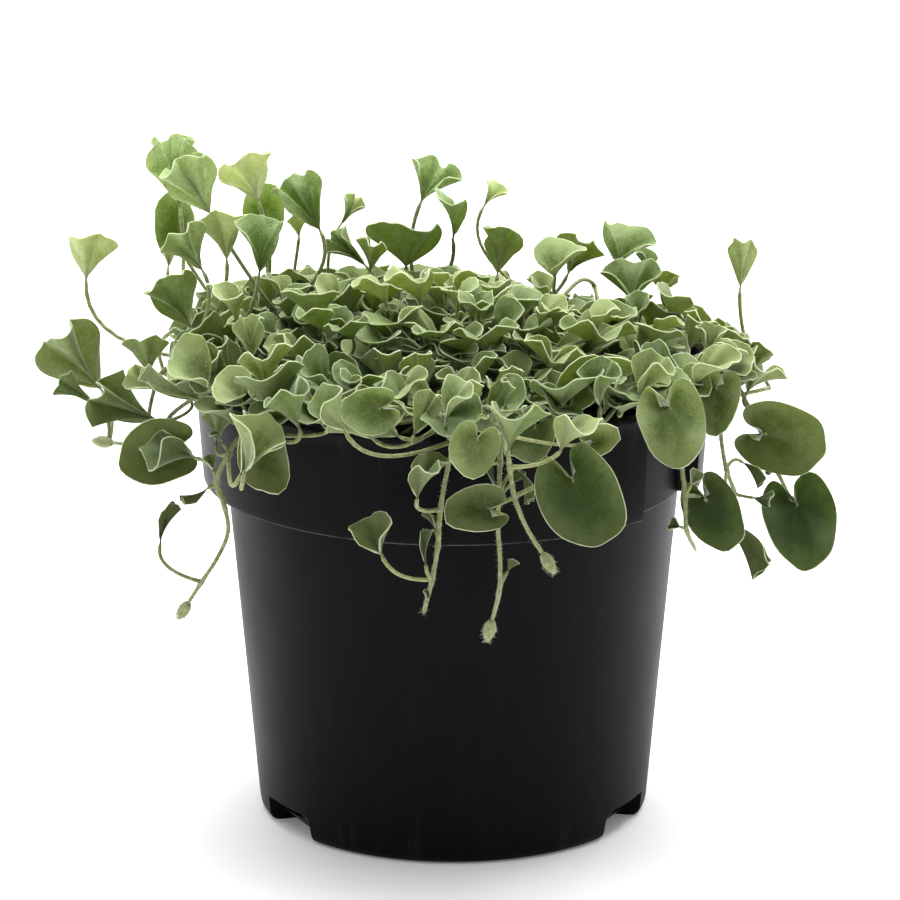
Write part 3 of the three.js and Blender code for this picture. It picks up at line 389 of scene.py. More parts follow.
def spline(places, t):
    """Points of the centripetal Catmull-Rom curve through the places, at t from 0 to 1."""
    places = np.asarray(places)
    padded = np.vstack((2 * places[0] - places[1], places, 2 * places[-1] - places[-2]))
    spans = ((padded[1:] - padded[:-1]) ** 2).sum(axis=1) ** 0.25
    at = t * (len(places) - 1)
    index = np.minimum(at.astype(int), len(places) - 2)
    weight = (at - index)[:, None]
    p0, p1, p2, p3 = (padded[index + shift] for shift in range(4))
    d0, d1, d2 = (spans[index + shift][:, None] for shift in range(3))
    start = ((p1 - p0) / d0 - (p2 - p0) / (d0 + d1) + (p2 - p1) / d1) * d1
    end = ((p2 - p1) / d1 - (p3 - p1) / (d1 + d2) + (p3 - p2) / d2) * d1
    square = -3 * p1 + 3 * p2 - 2 * start - end
    cube = 2 * p1 - 2 * p2 + start + end
    return p1 + start * weight + square * weight ** 2 + cube * weight ** 3


def spaced(places, step):
    """Points at equal distances along the spline, about a step apart."""
    divisions = np.arange(201) / 200
    line = spline(places, divisions)
    lengths = np.concatenate(((0.0,), np.cumsum(np.linalg.norm(np.diff(line, axis=0), axis=1))))
    pieces = math.ceil(lengths[-1] / step)
    return spline(places, np.interp(np.arange(pieces + 1) / pieces * lengths[-1], lengths, divisions))


def stem_points(root, way):
    """Points along a stem, from the bottom of its hole."""
    bottom = np.array((root[0], root[1], SOIL["top"] - SOIL["hole_depth"] + 1))
    collar = np.array((root[0], root[1], SOIL["top"] + SOIL["mound"] + 1))
    return np.vstack((bottom, spaced([collar, *way], STEM["step"])))


def along(points, start):
    """Samples along a line of points, from a place on it to its end."""
    samples = []
    for a, b in zip(points[start:-1], points[start + 1:]):
        pieces = math.ceil(np.linalg.norm(b - a) / THIN_STEP)
        samples.append(a + (b - a) * (np.arange(pieces) / pieces)[:, None])
    return np.vstack((*samples, points[-1:]))


def grow_stem(root, choices, crowd):
    """A stem along the first way that keeps clear, or none."""
    for way in choices:
        points = stem_points(root, way)
        above = int(np.argmax(points[:, 2] > SOIL["top"] + SOIL["mound"] + ROOM["stem"]))
        samples = along(points, above)
        if crowd.is_clear(samples, ROOM["stem"]):
            stem = dict(root=root, points=points, above=above, leaves=[], tip=0)
            crowd.place(samples, ROOM["stem"], stem["points"], None)
            return stem
    return None


def trail_choices(root, way, draws):
    """Ways from a root to a trail: over the rim where the trail starts outside the pot."""
    choices = []
    for attempt in range(TRAIL_STRAY["tries"]):
        stray = TRAIL_STRAY["least"] + attempt * TRAIL_STRAY["more"]
        lifted = root + (way[0] - root) * LEAVE["share"]
        lifted[2] = max(SOIL["top"] + LEAVE["over_soil"], lifted[2])
        first = way[0].copy()
        first[2] = max(first[2], POT["rim_height"] + LEAVE["over_rim"])
        places = [lifted + draws.jolt(stray), first + draws.jolt(stray)]
        places += [at + draws.jolt(stray * LEAVE["steady"]) for at in way[1:]]
        choices.append(places)
    return choices


def grow_trails(roots, crowd):
    """The trails of the photograph, each from the nearest root that it grows clear from."""
    draws = Draws(SEEDS["trails"])
    stems = []
    for path, tip in TRAILS:
        way = [seen(*place) for place in path]
        order = sorted(roots, key=lambda root: math.hypot(root[0] - way[0][0], root[1] - way[0][1]))
        for root in order[:LEAVE["roots"]]:
            stem = grow_stem(root, trail_choices(root, way, draws), crowd)
            if stem:
                roots[:] = [other for other in roots if other is not root]
                stems.append(dict(stem, tip=tip))
                break
    return stems


def grow_stems(roots, crowd):
    """A stem by rule from each root that is left."""
    draws = Draws(SEEDS["stems"])
    stems = []
    for root in roots:
        strays = [STRAY["stem"] + attempt * STRAY["stem_more"] for attempt in range(STRAY["stem_tries"])]
        stems.append(grow_stem(root, [stem_way(root, draws, stray) for stray in strays], crowd))
    return [stem for stem in stems if stem]


def arrival(leaf):
    """The direction in which a leafstalk reaches the foot of its blade."""
    return leaf["axis"] * math.cos(leaf["open"] / 2) + leaf["midrib"] * math.sin(leaf["open"] / 2)


def bezier(start, control, end, t):
    """Points of the curve from start to end that heads for control, at t from 0 to 1."""
    t = t[:, None]
    return start * (1 - t) ** 2 + 2 * control * (1 - t) * t + end * t ** 2


def stalk_line(leaf, start, bend):
    """A leafstalk from a place on a stem to the foot of a blade: start, control and end of a curve."""
    reach = np.linalg.norm(start - leaf["foot"])
    way = arrival(leaf)
    end = leaf["foot"] - way * STALK["below"]
    control = leaf["foot"] - way * STALK["arch"] * reach + bend * reach
    return start, control, end, (3 if reach > STALK["long"] else 2)


def grow_stalk(leaf, stems, draws, limit, rounds, crowd, squeeze=1.0):
    """The first clear leafstalk from the stems near a leaf, nearest attachments first."""
    attachments = []
    for stem in stems:
        reach = np.linalg.norm(stem["points"] - leaf["foot"], axis=1)
        for index in range(stem["above"] + 2, len(reach)):
            if STALK["shortest"] < reach[index] < limit:
                attachments.append((reach[index], stem, index))
    attachments.sort(key=lambda item: item[0])
    for attempt in range(rounds):
        for _, stem, index in attachments[:STALK["attachments"]]:
            bend = draws.jolt(STALK["bend"] * attempt)
            start, control, end, pieces = stalk_line(leaf, stem["points"][index], bend)
            points = bezier(start, control, end, np.arange(pieces + 1) / pieces)
            samples = along(points, 0)
            if crowd.is_clear(samples, ROOM["stalk"], stem["points"], leaf, squeeze):
                return dict(stem=stem, curve=(start, control, end), samples=samples)
    return None


def place_leaf(leaf, samples, stalk, crowd):
    """Puts a leaf and its stalk among what is placed."""
    crowd.place(samples, ROOM["blade"], None, leaf)
    attach(leaf, stalk, crowd)


def attach(leaf, stalk, crowd):
    """Gives a leaf its stalk, and the stalk's stem the leaf."""
    leaf["stalk"] = stalk["curve"]
    stalk["stem"]["leaves"].append(leaf)
    crowd.place(stalk["samples"], ROOM["stalk"], stalk["stem"]["points"], leaf)


def dome_leaf(draws, largest):
    """A leaf of the dome by the seeded draws, its axis leaning out where the dome falls away."""
    around = 2 * math.pi * draws()
    upward = draws.within(*DOME_LEAF["upward"])
    flat = math.sqrt(1 - upward * upward)
    inset = DOME["inset"] * draws()
    size = largest * draws.within(*DOME_LEAF["size"])
    shape = dict(
        CONE, size=size, open=math.radians(draws.within(*DOME_LEAF["open"])),
        wrap=math.radians(draws.within(*DOME_LEAF["wrap"])), wave=draws.within(*DOME_LEAF["wave"]),
        waves=math.floor(draws.within(*DOME_LEAF["waves"])), phase=2 * math.pi * draws(),
        deep=draws.within(*DOME_LEAF["deep"]),
    )
    outward = np.array((math.cos(around), math.sin(around), 0.0))
    sideways = np.array((-outward[1], outward[0], 0.0))
    tilt = DOME_LEAF["outward"] * flat + draws.within(*DOME_LEAF["lean"])
    swing = draws.within(*DOME_LEAF["swing"])
    turn = draws.within(*DOME_LEAF["turn"])
    foot = outward * (DOME["radius"] - inset) * flat
    foot[2] = DOME["centre"] + (DOME["height"] - inset) * upward - size * DOME_LEAF["sink"]
    axis = unit(np.array((0.0, 0.0, 1.0)) + outward * tilt + sideways * swing)
    near = unit(outward - axis * (outward @ axis))
    return dict(shape, foot=foot, **turned_axes(axis, near, turn))


def inside_outline(samples):
    """True where all samples lie inside the mass of foliage as seen, or behind the pot."""
    across, down = pixels_of(samples)
    following = np.roll(MASS, -1, axis=0)
    inside = np.zeros(len(samples), bool)
    for (x0, y0), (x1, y1) in zip(MASS, following):
        crosses = (y0 > down) != (y1 > down)
        with np.errstate(divide="ignore", invalid="ignore"):
            inside ^= crosses & (across < (x1 - x0) * (down - y0) / (y1 - y0) + x0)
    hidden = (samples[:, 1] > 0) & (down > HIDDEN["top"])
    hidden &= np.abs(across - CAMERA["axis"]) < HIDDEN["half_width"]
    return bool(np.all(inside | hidden))


def grow_dome(stems, crowd):
    """Dome leaves, kept where they are clear, inside the outline, and within reach of a stem."""
    draws = Draws(SEEDS["dome"])
    count = 0
    for attempt in range(DOME["tries"]):
        if count == DOME["count"]:
            break
        leaf = dome_leaf(draws, DOME_SIZE["largest"] - DOME_SIZE["shrink"] * attempt / DOME["tries"])
        samples = blade_samples(leaf)
        if not inside_outline(samples) or not crowd.is_clear(samples, ROOM["blade"]):
            continue
        stalk = grow_stalk(leaf, stems, draws, REACH["dome"], REACH["dome_rounds"], crowd)
        if stalk:
            place_leaf(leaf, samples, stalk, crowd)
            count += 1


def give_stalk(leaf, stems, draws, crowd):
    """A leaf from the photograph gets its stalk where it is, or else where it can slide to."""
    def reach(candidate):
        candidate["grown"] = grow_stalk(candidate, stems, draws, REACH["seen"], REACH["seen_rounds"], crowd)
        return candidate["grown"]

    if reach(leaf):
        attach(leaf, leaf["grown"], crowd)
        return
    crowd.drop(leaf)
    moved = slide_clear(leaf["row"], crowd, reach)
    if moved:
        attach(moved, moved["grown"], crowd)


def grow_plant():
    """All leafy stems, in the order in which the solids are numbered."""
    crowd = Crowd()
    roots = [root_place(index) for index in range(STEM["count"])]
    trails = grow_trails(roots, crowd)
    leaves = seen_leaves(crowd)
    stems = trails + grow_stems(roots, crowd)
    draws = Draws(SEEDS["stalks"])
    for leaf in leaves:
        give_stalk(leaf, stems, draws, crowd)
    grow_dome(stems, crowd)
    return [stem for stem in stems if stem["leaves"] or stem["tip"]], crowd


# Blades: rows along, columns across by size in mm, and how much closer the columns lie at the sides
BLADE_ROWS = np.array((0.04, 0.11, 0.2, 0.31, 0.43, 0.56, 0.68, 0.79, 0.88, 0.94))
BLADE_COLUMNS = ((9.0, 12), (13.0, 18), (16.0, 26), (18.5, 40), (99.0, 60))
BLADE_SPACING = 0.38

# A blade's lobes, its uneven rim as (depth, waves), the dip where the midrib ends, and how it flares
LOBE = dict(widen=1.1, pull=0.985, power=6, root=0.36)
UNEVEN = ((0.03, 3.2), (0.014, 7.4))
DIP = dict(depth=0.035, width=0.18)
FLARE = dict(rise=0.9, bowl=0.6, least=0.6, more=0.5)

# What lifts a blade, as shares of its length: waves across it with a (start, span) for their number
# and the power by which they grow toward the rim, lobes that curl up unevenly, and a bow along it
PLEAT = dict(lift=0.006, waves=(2.6, 1.0))
RUFFLE = dict(lift=0.02, waves=(2.4, 1.2), power=3, on_flat=1.8)
FRILL = dict(lift=0.008, waves=(5.0, 2.0), power=6)
CURL = dict(lift=0.16, uneven=0.7)
BOW = 0.02

# The pale band along a blade's rim in mm, partly hair and partly a painted highlight, at most a share of its
# length, and its thicker foot
RIM_BAND = dict(width=0.2, most=0.12, clear=1.6)
FOOT = dict(thicker=0.5, reach=0.12)

# Stalks, stems, buds and hairs in mm
STALK_FINE = dict(sides=7, pieces=10, radius=0.58, flare=0.25, enters=0.04, slender=0.62, full=40, end=0.5)
STEM_FINE = dict(
    sides=9, step=2.2, radius=0.72, thinning=0.18, swell=0.26, swell_reach=1.3, end=0.6, pale_tip=0.6,
)
BUD_FINE = dict(rings=12, sides=12, length=6.2, radius=1.65, sunk=1.2, pinch=0.16, span=0.8, power=0.8,
                tint=0.9, pale=0.35)
HAIR = dict(radius=0.05, sides=3, node=16, bud=150, length=1.1, bud_lean=0.9, trail=14, trail_length=0.8)
NO_HAIR_WAY = (0.31, 0.87, 0.38)

# Leaves past those of the solids: how many, how large, how calm, and how closely they may lie
FILL = dict(
    seed=87, count=480, tries=16000, largest=19.0, shrink=7.5, calm=0.4, squeeze=0.26, longest=36.0,
    stalk_squeeze=0.1, inward=0.3, inset=26.0, rim=(54.0, 27.0), rim_height=(115.0, 20.0),
    lean=(0.35, 0.75), jolt=0.7,
)
YOUNG = dict(seed=91, chance=0.5, size=(3.2, 3.4), reach=(2.0, 3.5), lift=0.8, squeeze=0.4)
YOUNG_SHAPE = dict(open=0.45, wrap=1.9, wave=0.12, waves=2)

# Blades longer than this in mm are old ones, and darker by as much as they are longer
OLD_LEAF = 14.0

# More blades read from the photograph, in front of those of the solids: rows as for KIDNEYS and CUPS
HANGING = dict(seed=29, front=-109.0, squeeze=0.5, longest=60.0, rounds=6, stalk_squeeze=0.3)
HANGING_KIDNEYS = (
    (494, 486, -93, 19, 19, 212), (706, 500, -52, 15, 17, 150), (380, 408, -76, 13, 12, 250),
)
HANGING_CUPS = (
    (434, 512, -92, 19, 18, -20), (196, 458, -44, 17, 13, -64), (300, 430, -78, 15, 13, -20),
    (345, 432, -82, 15, 12, -42), (268, 395, -60, 15, 14, -8), (446, 424, -84, 12, 12, 12),
    (640, 398, -56, 14, 12, 14), (600, 408, -66, 14, 12, -6), (745, 396, -14, 14, 12, 30),
    (508, 452, -89, 17, 14, 10), (560, 452, -90, 17, 12, 24), (244, 474, -74, 16, 15, 22),
)
FINE_SEED = 11
NO_QUADS = np.zeros((0, 4), int)


class Skin:
    """Points, faces and marks of one piece, gathered from its parts, each a closed shell."""

    def __init__(self):
        self.points, self.quads, self.triangles, self.marks, self.uvs = [], [], [], [], []
        self.count = 0

    def add(self, points, quads, triangles, marks, uvs):
        """Adds a shell, with its faces turned outwards by the sign of its volume."""
        corners = np.vstack((quads[:, :3], quads[:, [0, 2, 3]], triangles))
        centred = points - points.mean(axis=0)
        a, b, c = (centred[corners[:, index]] for index in range(3))
        if (a * np.cross(b, c)).sum() < 0:
            quads, triangles = quads[:, ::-1], triangles[:, ::-1]
        self.points.append(points)
        self.quads.append(quads + self.count)
        self.triangles.append(triangles + self.count)
        self.marks.append(marks)
        self.uvs.append(uvs)
        self.count += len(points)

    def build(self, name, material):
        """A smooth mesh object in metres, with the marks as a colour attribute and its UV map."""
        points = np.vstack(self.points) * MM
        quads, triangles = np.vstack(self.quads), np.vstack(self.triangles)
        corners = np.concatenate((quads.ravel(), triangles.ravel()))
        starts = np.concatenate((np.arange(len(quads)) * 4, len(quads) * 4 + np.arange(len(triangles)) * 3))
        mesh = bpy.data.meshes.new(name)
        mesh.vertices.add(len(points))
        mesh.vertices.foreach_set("co", points.astype(np.float32).ravel())
        mesh.loops.add(len(corners))
        mesh.loops.foreach_set("vertex_index", corners.astype(np.int32))
        mesh.polygons.add(len(starts))
        mesh.polygons.foreach_set("loop_start", starts.astype(np.int32))
        mesh.update(calc_edges=True)
        mesh.polygons.foreach_set("use_smooth", np.ones(len(starts), bool))
        marks = mesh.attributes.new("marks", "FLOAT_COLOR", "POINT")
        marks.data.foreach_set("color", np.vstack(self.marks).astype(np.float32).ravel())
        layer = mesh.uv_layers.new(name="UVMap")
        layer.data.foreach_set("uv", np.vstack(self.uvs)[corners].astype(np.float32).ravel())
        return finish_piece(mesh, name, material)


def scene_object(name, data):
    """An object for a mesh, lamp or camera, in the scene."""
    made = bpy.data.objects.new(name, data)
    bpy.context.scene.collection.objects.link(made)
    return made


def finish_piece(mesh, name, material):
    """An object for a mesh, with its material, riding on the part's one body."""
    mesh.materials.append(material)
    piece = scene_object(name, mesh)
    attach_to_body(piece, "root")
    return piece


def ring_quads(rings, sides):
    """The quads between successive closed rings of points."""
    here = np.arange((rings - 1) * sides).reshape(rings - 1, sides)
    beside = np.roll(here, -1, axis=1)
    return np.stack((here, beside, beside + sides, here + sides), axis=-1).reshape(-1, 4)


def ring_caps(rings, sides):
    """Triangles that close the first and the last ring of a tube."""
    fan = np.arange(1, sides - 1)
    last = (rings - 1) * sides
    first_cap = np.stack((np.zeros_like(fan), fan + 1, fan), axis=-1)
    return np.vstack((first_cap, last + np.stack((np.zeros_like(fan), fan, fan + 1), axis=-1)))


def tube(line, radii, sides):
    """A tube round a line: each ring is a circle across the line's direction.

    The circles are set out from the direction that the line turns about, so that they don't twist.
    """
    ahead = np.gradient(line, axis=0)
    ahead /= np.linalg.norm(ahead, axis=1)[:, None]
    steady = np.linalg.svd(ahead)[2][-1]
    across = steady - ahead * (ahead @ steady)[:, None]
    across /= np.linalg.norm(across, axis=1)[:, None]
    other = np.cross(ahead, across)
    angle = 2 * math.pi * np.arange(sides) / sides
    ring = np.cos(angle)[None, :, None] * across[:, None] + np.sin(angle)[None, :, None] * other[:, None]
    points = line[:, None] + ring * radii[:, None, None]
    return points.reshape(-1, 3), ring_quads(len(line), sides), ring_caps(len(line), sides)


def add_tube(skin, line, radii, sides, marks):
    """Adds a tube to a skin, with marks for all of it or for each ring.

    Its UV runs round it from 0 to 1 and along it in mm.
    """
    points, quads, caps = tube(line, radii, sides)
    lengths = np.concatenate(((0.0,), np.cumsum(np.linalg.norm(np.diff(line, axis=0), axis=1))))
    uvs = np.stack((np.tile(np.arange(sides) / sides, len(line)), np.repeat(lengths, sides)), axis=-1)
    skin.add(points, quads, caps, np.repeat(np.broadcast_to(marks, (len(line), 4)), sides, axis=0), uvs)


def rows_along(values):
    """Values along a blade, to be spread over its columns and coordinates."""
    return values[:, None, None]


def waves_across(s, t, waves, form, phase):
    """A cosine of s that grows toward the rim as a power of t."""
    return form["lift"] * t[:, None] ** form["power"] * np.cos(waves * math.pi * s + phase)[None]


def blade_surface(leaf, s, t, draws):
    """The middle surface of a blade at s across and t along, and its normals.

    It runs from the foot to the rim of the solid's cone. Between them the distance from the axis grows
    as a power of t over 1, which flares it like a trumpet, and the height along the axis as a power
    that makes a flat blade a shallow bowl. A root of 1 less a high power of s rounds its two lobes,
    and two low cosines make the outline uneven.
    Pleats along the veins and ruffles that grow toward the rim, cosines of s, lift it along its
    normal, the lobes of a flat blade curl up unevenly as the cube of s, and the rim dips where the
    midrib ends.
    """
    outline = 1.0
    phases = [2 * math.pi * draws() for _ in range(6)]
    for (depth, waves), phase in zip(UNEVEN, phases[4:]):
        outline = outline + depth * np.cos(waves * math.pi * s + phase)
    lobes = (1 - LOBE["pull"] * np.abs(s) ** LOBE["power"]) ** LOBE["root"]
    rim = rulings(leaf, LOBE["widen"] * s) * (lobes * outline)[:, None]
    height = rim @ leaf["axis"]
    spread = rim - np.outer(height, leaf["axis"])
    narrow = math.cos(leaf["open"])
    flat = 1 - narrow
    dip = 1 - DIP["depth"] * np.exp(-(s / DIP["width"]) ** 2)
    lift = rows_along(t ** (FLARE["rise"] + FLARE["bowl"] * flat)) * (height * dip)[None, :, None]
    flare = rows_along(t ** (1 + (FLARE["least"] + FLARE["more"] * draws()) * narrow))
    surface = leaf["foot"] + lift * leaf["axis"] + flare * spread[None] * dip[None, :, None]
    normals = np.cross(np.gradient(surface, axis=0), np.gradient(surface, axis=1))
    normals /= np.linalg.norm(normals, axis=2)[..., None] + 1e-9
    pleats, ruffles, frills = (draws.within(*form["waves"]) for form in (PLEAT, RUFFLE, FRILL))
    arched = np.sin(math.pi * t)[:, None]
    pleat = PLEAT["lift"] * arched * np.cos(pleats * math.pi * s + phases[2])[None]
    ruffle = waves_across(s, t, ruffles, RUFFLE, phases[0]) * (1 + RUFFLE["on_flat"] * flat)
    frill = waves_across(s, t, frills, FRILL, phases[1])
    uneven = 1 + CURL["uneven"] * math.cos(phases[3]) * np.sign(s)
    curl = CURL["lift"] * flat * t[:, None] ** 2 * (uneven * np.abs(s) ** 3)[None]
    rise = leaf["size"] * (ruffle + frill + pleat + BOW * arched * np.cos(phases[3]) + curl)
    return surface + normals * rise[..., None], normals


def add_blade(skin, leaf, thickness, draws, tint):
    """Adds a blade: its middle surface thickened to two faces, closed round the rim and at the foot."""
    columns = next(count for size, count in BLADE_COLUMNS if leaf["size"] < size)
    band = min(RIM_BAND["most"], RIM_BAND["width"] / leaf["size"])
    t = np.concatenate((BLADE_ROWS[BLADE_ROWS < 1 - RIM_BAND["clear"] * band], (1 - band, 1.0)))
    even = np.linspace(-1, 1, columns + 1)
    s = (1 - BLADE_SPACING) * even + BLADE_SPACING * np.sin(even * math.pi / 2)
    surface, normals = blade_surface(leaf, s, t, draws)
    half = 0.5 * thickness * rows_along(1 + FOOT["thicker"] * np.exp(-t / FOOT["reach"]))
    front, back = surface + normals * half, surface - normals * half
    rings = np.concatenate((front, back[:, ::-1]), axis=1)
    rows, sides = rings.shape[:2]
    rim = (rows - 1) * sides
    left = rim + np.arange(len(s) - 1)
    right = rim + sides - 1 - np.arange(len(s) - 1)
    closing = np.stack((left, left + 1, right - 1, right), axis=-1)
    foot = ring_caps(1, sides)[:sides - 2]
    both = np.concatenate((s, s[::-1]))
    # The rim's pale band: partly hair, partly a painted highlight of the lit edge
    at_edge = (t == 1)[:, None] | np.isclose(np.abs(both), 1)[None]
    marks = np.empty((rows, sides, 4))
    marks[..., 0] = np.arange(sides) < len(s)
    marks[..., 1] = tint
    marks[..., 2] = 1.0
    marks[..., 3] = at_edge
    uvs = np.stack(np.broadcast_arrays(((both + 1) / 2)[None], t[:, None]), axis=-1)
    quads = np.vstack((ring_quads(rows, sides), closing))
    skin.add(rings.reshape(-1, 3), quads, foot, marks.reshape(-1, 4), uvs.reshape(-1, 2))


def random_ways(noise, count):
    """Random directions."""
    ways = noise.normal(size=(count, 3))
    return ways / np.linalg.norm(ways, axis=1)[:, None]


def add_hairs(skin, roots, ways, length):
    """Adds hairs: three-sided spikes from their roots along their ways."""
    count, sides = len(roots), HAIR["sides"]
    across = np.cross(ways, NO_HAIR_WAY)
    across /= np.linalg.norm(across, axis=1)[:, None]
    other = np.cross(ways, across)
    angle = 2 * math.pi * np.arange(sides) / sides
    ring = np.cos(angle)[None, :, None] * across[:, None] + np.sin(angle)[None, :, None] * other[:, None]
    feet = roots[:, None] + ring * HAIR["radius"]
    tips = (roots + ways * length[:, None])[:, None]
    points = np.concatenate((feet, tips), axis=1).reshape(-1, 3)
    shell = np.array(((0, 1, 3), (1, 2, 3), (2, 0, 3), (0, 2, 1)))
    triangles = (shell[None] + (sides + 1) * np.arange(count)[:, None, None]).reshape(-1, 3)
    marks = np.tile((0.0, 0.5, 0.0, 1.0), (len(points), 1))
    skin.add(points, NO_QUADS, triangles, marks, np.zeros((len(points), 2)))


def add_tuft(skin, centre, radius, count, length, noise):
    """Adds hairs all round a place, standing off its surface."""
    ways = random_ways(noise, count)
    add_hairs(skin, centre + ways * radius, ways, length * noise.uniform(0.5, 1.1, count))


def add_stalk(skin, leaf, tint):
    """Adds a leafstalk: a bent line of one curve, thickest where it meets the stem and the blade."""
    start, control, end = leaf["stalk"]
    t = np.arange(STALK_FINE["pieces"] + 1) / STALK_FINE["pieces"]
    inside = arrival(leaf) * (STALK["below"] + STALK_FINE["enters"] * leaf["size"])
    line = bezier(start, control, end + inside, t)
    slender = min(1.0, STALK_FINE["slender"] + leaf["size"] / STALK_FINE["full"])
    radii = STALK_FINE["radius"] * slender * (1 + STALK_FINE["flare"] * (2 * t - 1) ** 4)
    radii[-1] *= STALK_FINE["end"]
    add_tube(skin, line, radii, STALK_FINE["sides"], (0.0, tint, 0.0, 0.0))


def add_trail_hairs(skin, line, noise):
    """Adds hairs all along the outer two thirds of a trailing stem."""
    at = noise.uniform(len(line) / 3, len(line) - 1, HAIR["trail"] * len(line))
    feet = np.stack([np.interp(at, np.arange(len(line)), part) for part in line.T], axis=-1)
    ways = random_ways(noise, len(feet))
    feet = feet + ways * STEM_FINE["radius"] * 0.7
    add_hairs(skin, feet, ways, HAIR["trail_length"] * noise.uniform(0.5, 1.2, len(feet)))


def add_stem(skin, stem, noise):
    """Adds a stem: a smooth line through the solid's places, swollen where stalks leave it.

    The swelling is a bell curve of the distance to the nearest stalk.
    """
    line = spaced(stem["points"], STEM_FINE["step"])
    along_it = np.arange(len(line)) / (len(line) - 1)
    radii = STEM_FINE["radius"] - STEM_FINE["thinning"] * along_it
    nodes = [leaf["stalk"][0] for leaf in stem["leaves"]]
    near = np.zeros(len(line))
    for node in nodes:
        apart = np.linalg.norm(line - node, axis=1)
        near = np.maximum(near, np.exp(-(apart / STEM_FINE["swell_reach"]) ** 2))
    radii = radii + STEM_FINE["swell"] * near
    radii[-1] *= STEM_FINE["end"]
    marks = np.tile((0.0, noise.uniform(), 0.0, 0.0), (len(line), 1))
    if stem["index"] < len(TRAILS):
        marks[:, 3] = STEM_FINE["pale_tip"] * np.clip(4 * along_it - 3, 0, 1)
        add_trail_hairs(skin, line, noise)
    add_tube(skin, line, radii, STEM_FINE["sides"], marks)
    for node in nodes:
        add_tuft(skin, node, STEM["radius"] * 0.9, HAIR["node"], HAIR["length"], noise)


def bud_radius(t):
    """A bud's radius at t along it: a power of a sine, pinched at both ends."""
    profile = np.sin(math.pi * (BUD_FINE["pinch"] + BUD_FINE["span"] * t))
    return BUD_FINE["radius"] * profile ** BUD_FINE["power"]


def add_bud(skin, stem, noise):
    """Adds a hairy bud at a stem's tip, sunk a little onto it."""
    tip, before = stem["points"][-1], stem["points"][-2]
    ahead = unit(tip - before)

    def places(t):
        return tip + ahead * (BUD_FINE["length"] * t - BUD_FINE["sunk"])[:, None]

    t = np.linspace(0, 1, BUD_FINE["rings"])
    marks = (0.0, BUD_FINE["tint"], 0.0, BUD_FINE["pale"])
    add_tube(skin, places(t), bud_radius(t), BUD_FINE["sides"], marks)
    angle = noise.uniform(0, 2 * math.pi, HAIR["bud"])
    reach = noise.uniform(0.1, 1.0, HAIR["bud"])
    across = unit(np.cross(ahead, (0.3, 0.5, 0.8)))
    ring = np.cos(angle)[:, None] * across + np.sin(angle)[:, None] * np.cross(ahead, across)
    ways = ring + ahead * HAIR["bud_lean"]
    ways /= np.linalg.norm(ways, axis=1)[:, None]
    roots = places(reach) + ring * (bud_radius(reach) * 0.95)[:, None]
    add_hairs(skin, roots, ways, HAIR["length"] * noise.uniform(0.6, 1.3, HAIR["bud"]))


def hanging_leaves(stems, crowd):
    """The rest of the larger leaves seen at the rim and before the pot, where they clear the others."""
    draws = Draws(HANGING["seed"])
    rows = [kidney_row(row, draws) for row in HANGING_KIDNEYS]
    rows += [cone_row(row, draws, CUP_SET) for row in HANGING_CUPS]
    for row in rows:
        for leaf in slid_leaves(row):
            samples = blade_samples(leaf)
            if samples[:, 1].min() < HANGING["front"]:
                continue
            if not crowd.is_clear(samples, ROOM["blade"], squeeze=HANGING["squeeze"]):
                continue
            stalk = grow_stalk(leaf, stems, draws, HANGING["longest"], HANGING["rounds"], crowd,
                               HANGING["stalk_squeeze"])
            if stalk:
                place_leaf(leaf, samples, stalk, crowd)
                break


def fill_dome(stems, crowd, count):
    """Small leaves by the dome's rule, also deeper in it, until the mass is dense."""
    draws = Draws(FILL["seed"])
    grown = 0
    for attempt in range(FILL["tries"]):
        if grown == count:
            break
        leaf = dome_leaf(draws, FILL["largest"] - FILL["shrink"] * attempt / FILL["tries"])
        leaf["wave"] *= FILL["calm"]
        if attempt % 2:
            outward = unit(leaf["foot"] * (1, 1, 0))
            leaf["foot"] = outward * draws.within(*FILL["rim"])
            leaf["foot"][2] = draws.within(*FILL["rim_height"])
            leaning = outward * draws.within(*FILL["lean"])
            axis = unit(np.array((0, 0, 1.0)) + leaning + draws.jolt(FILL["jolt"]))
            near = unit(outward - axis * (outward @ axis))
            leaf.update(turned_axes(axis, near, draws.within(*DOME_LEAF["turn"])))
        else:
            leaf["foot"] = leaf["foot"] * (1 - FILL["inward"] * draws(), 1 - FILL["inward"] * draws(), 1)
            leaf["foot"][2] -= FILL["inset"] * draws() ** 2
        samples = blade_samples(leaf)
        if not inside_outline(samples) or not crowd.is_clear(samples, ROOM["blade"], squeeze=FILL["squeeze"]):
            continue
        stalk = grow_stalk(leaf, stems, draws, FILL["longest"], 1, crowd, FILL["stalk_squeeze"])
        if stalk:
            place_leaf(leaf, samples, stalk, crowd)
            grown += 1


def young_leaves(stems, crowd):
    """Small young leaves on short stalks along the trailing stems."""
    draws = Draws(YOUNG["seed"])
    for stem in stems[:len(TRAILS)]:
        for index in range(stem["above"] + 2, len(stem["points"])):
            if draws() > YOUNG["chance"]:
                continue
            size = draws.within(*YOUNG["size"])
            way = unit(draws.jolt(2) + (0, 0, YOUNG["lift"]))
            foot = stem["points"][index] + way * (STEM["radius"] + draws.within(*YOUNG["reach"]))
            near = unit(np.cross(way, draws.jolt(2)))
            shape = dict(CONE, **YOUNG_SHAPE, size=size, phase=6 * draws())
            leaf = dict(shape, foot=foot, **turned_axes(way, near, 0))
            samples = blade_samples(leaf)
            if crowd.is_clear(samples, ROOM["blade"], squeeze=YOUNG["squeeze"]):
                curve = stalk_line(leaf, stem["points"][index], 0.0)[:3]
                place_leaf(leaf, samples, dict(stem=stem, curve=curve, samples=samples), crowd)


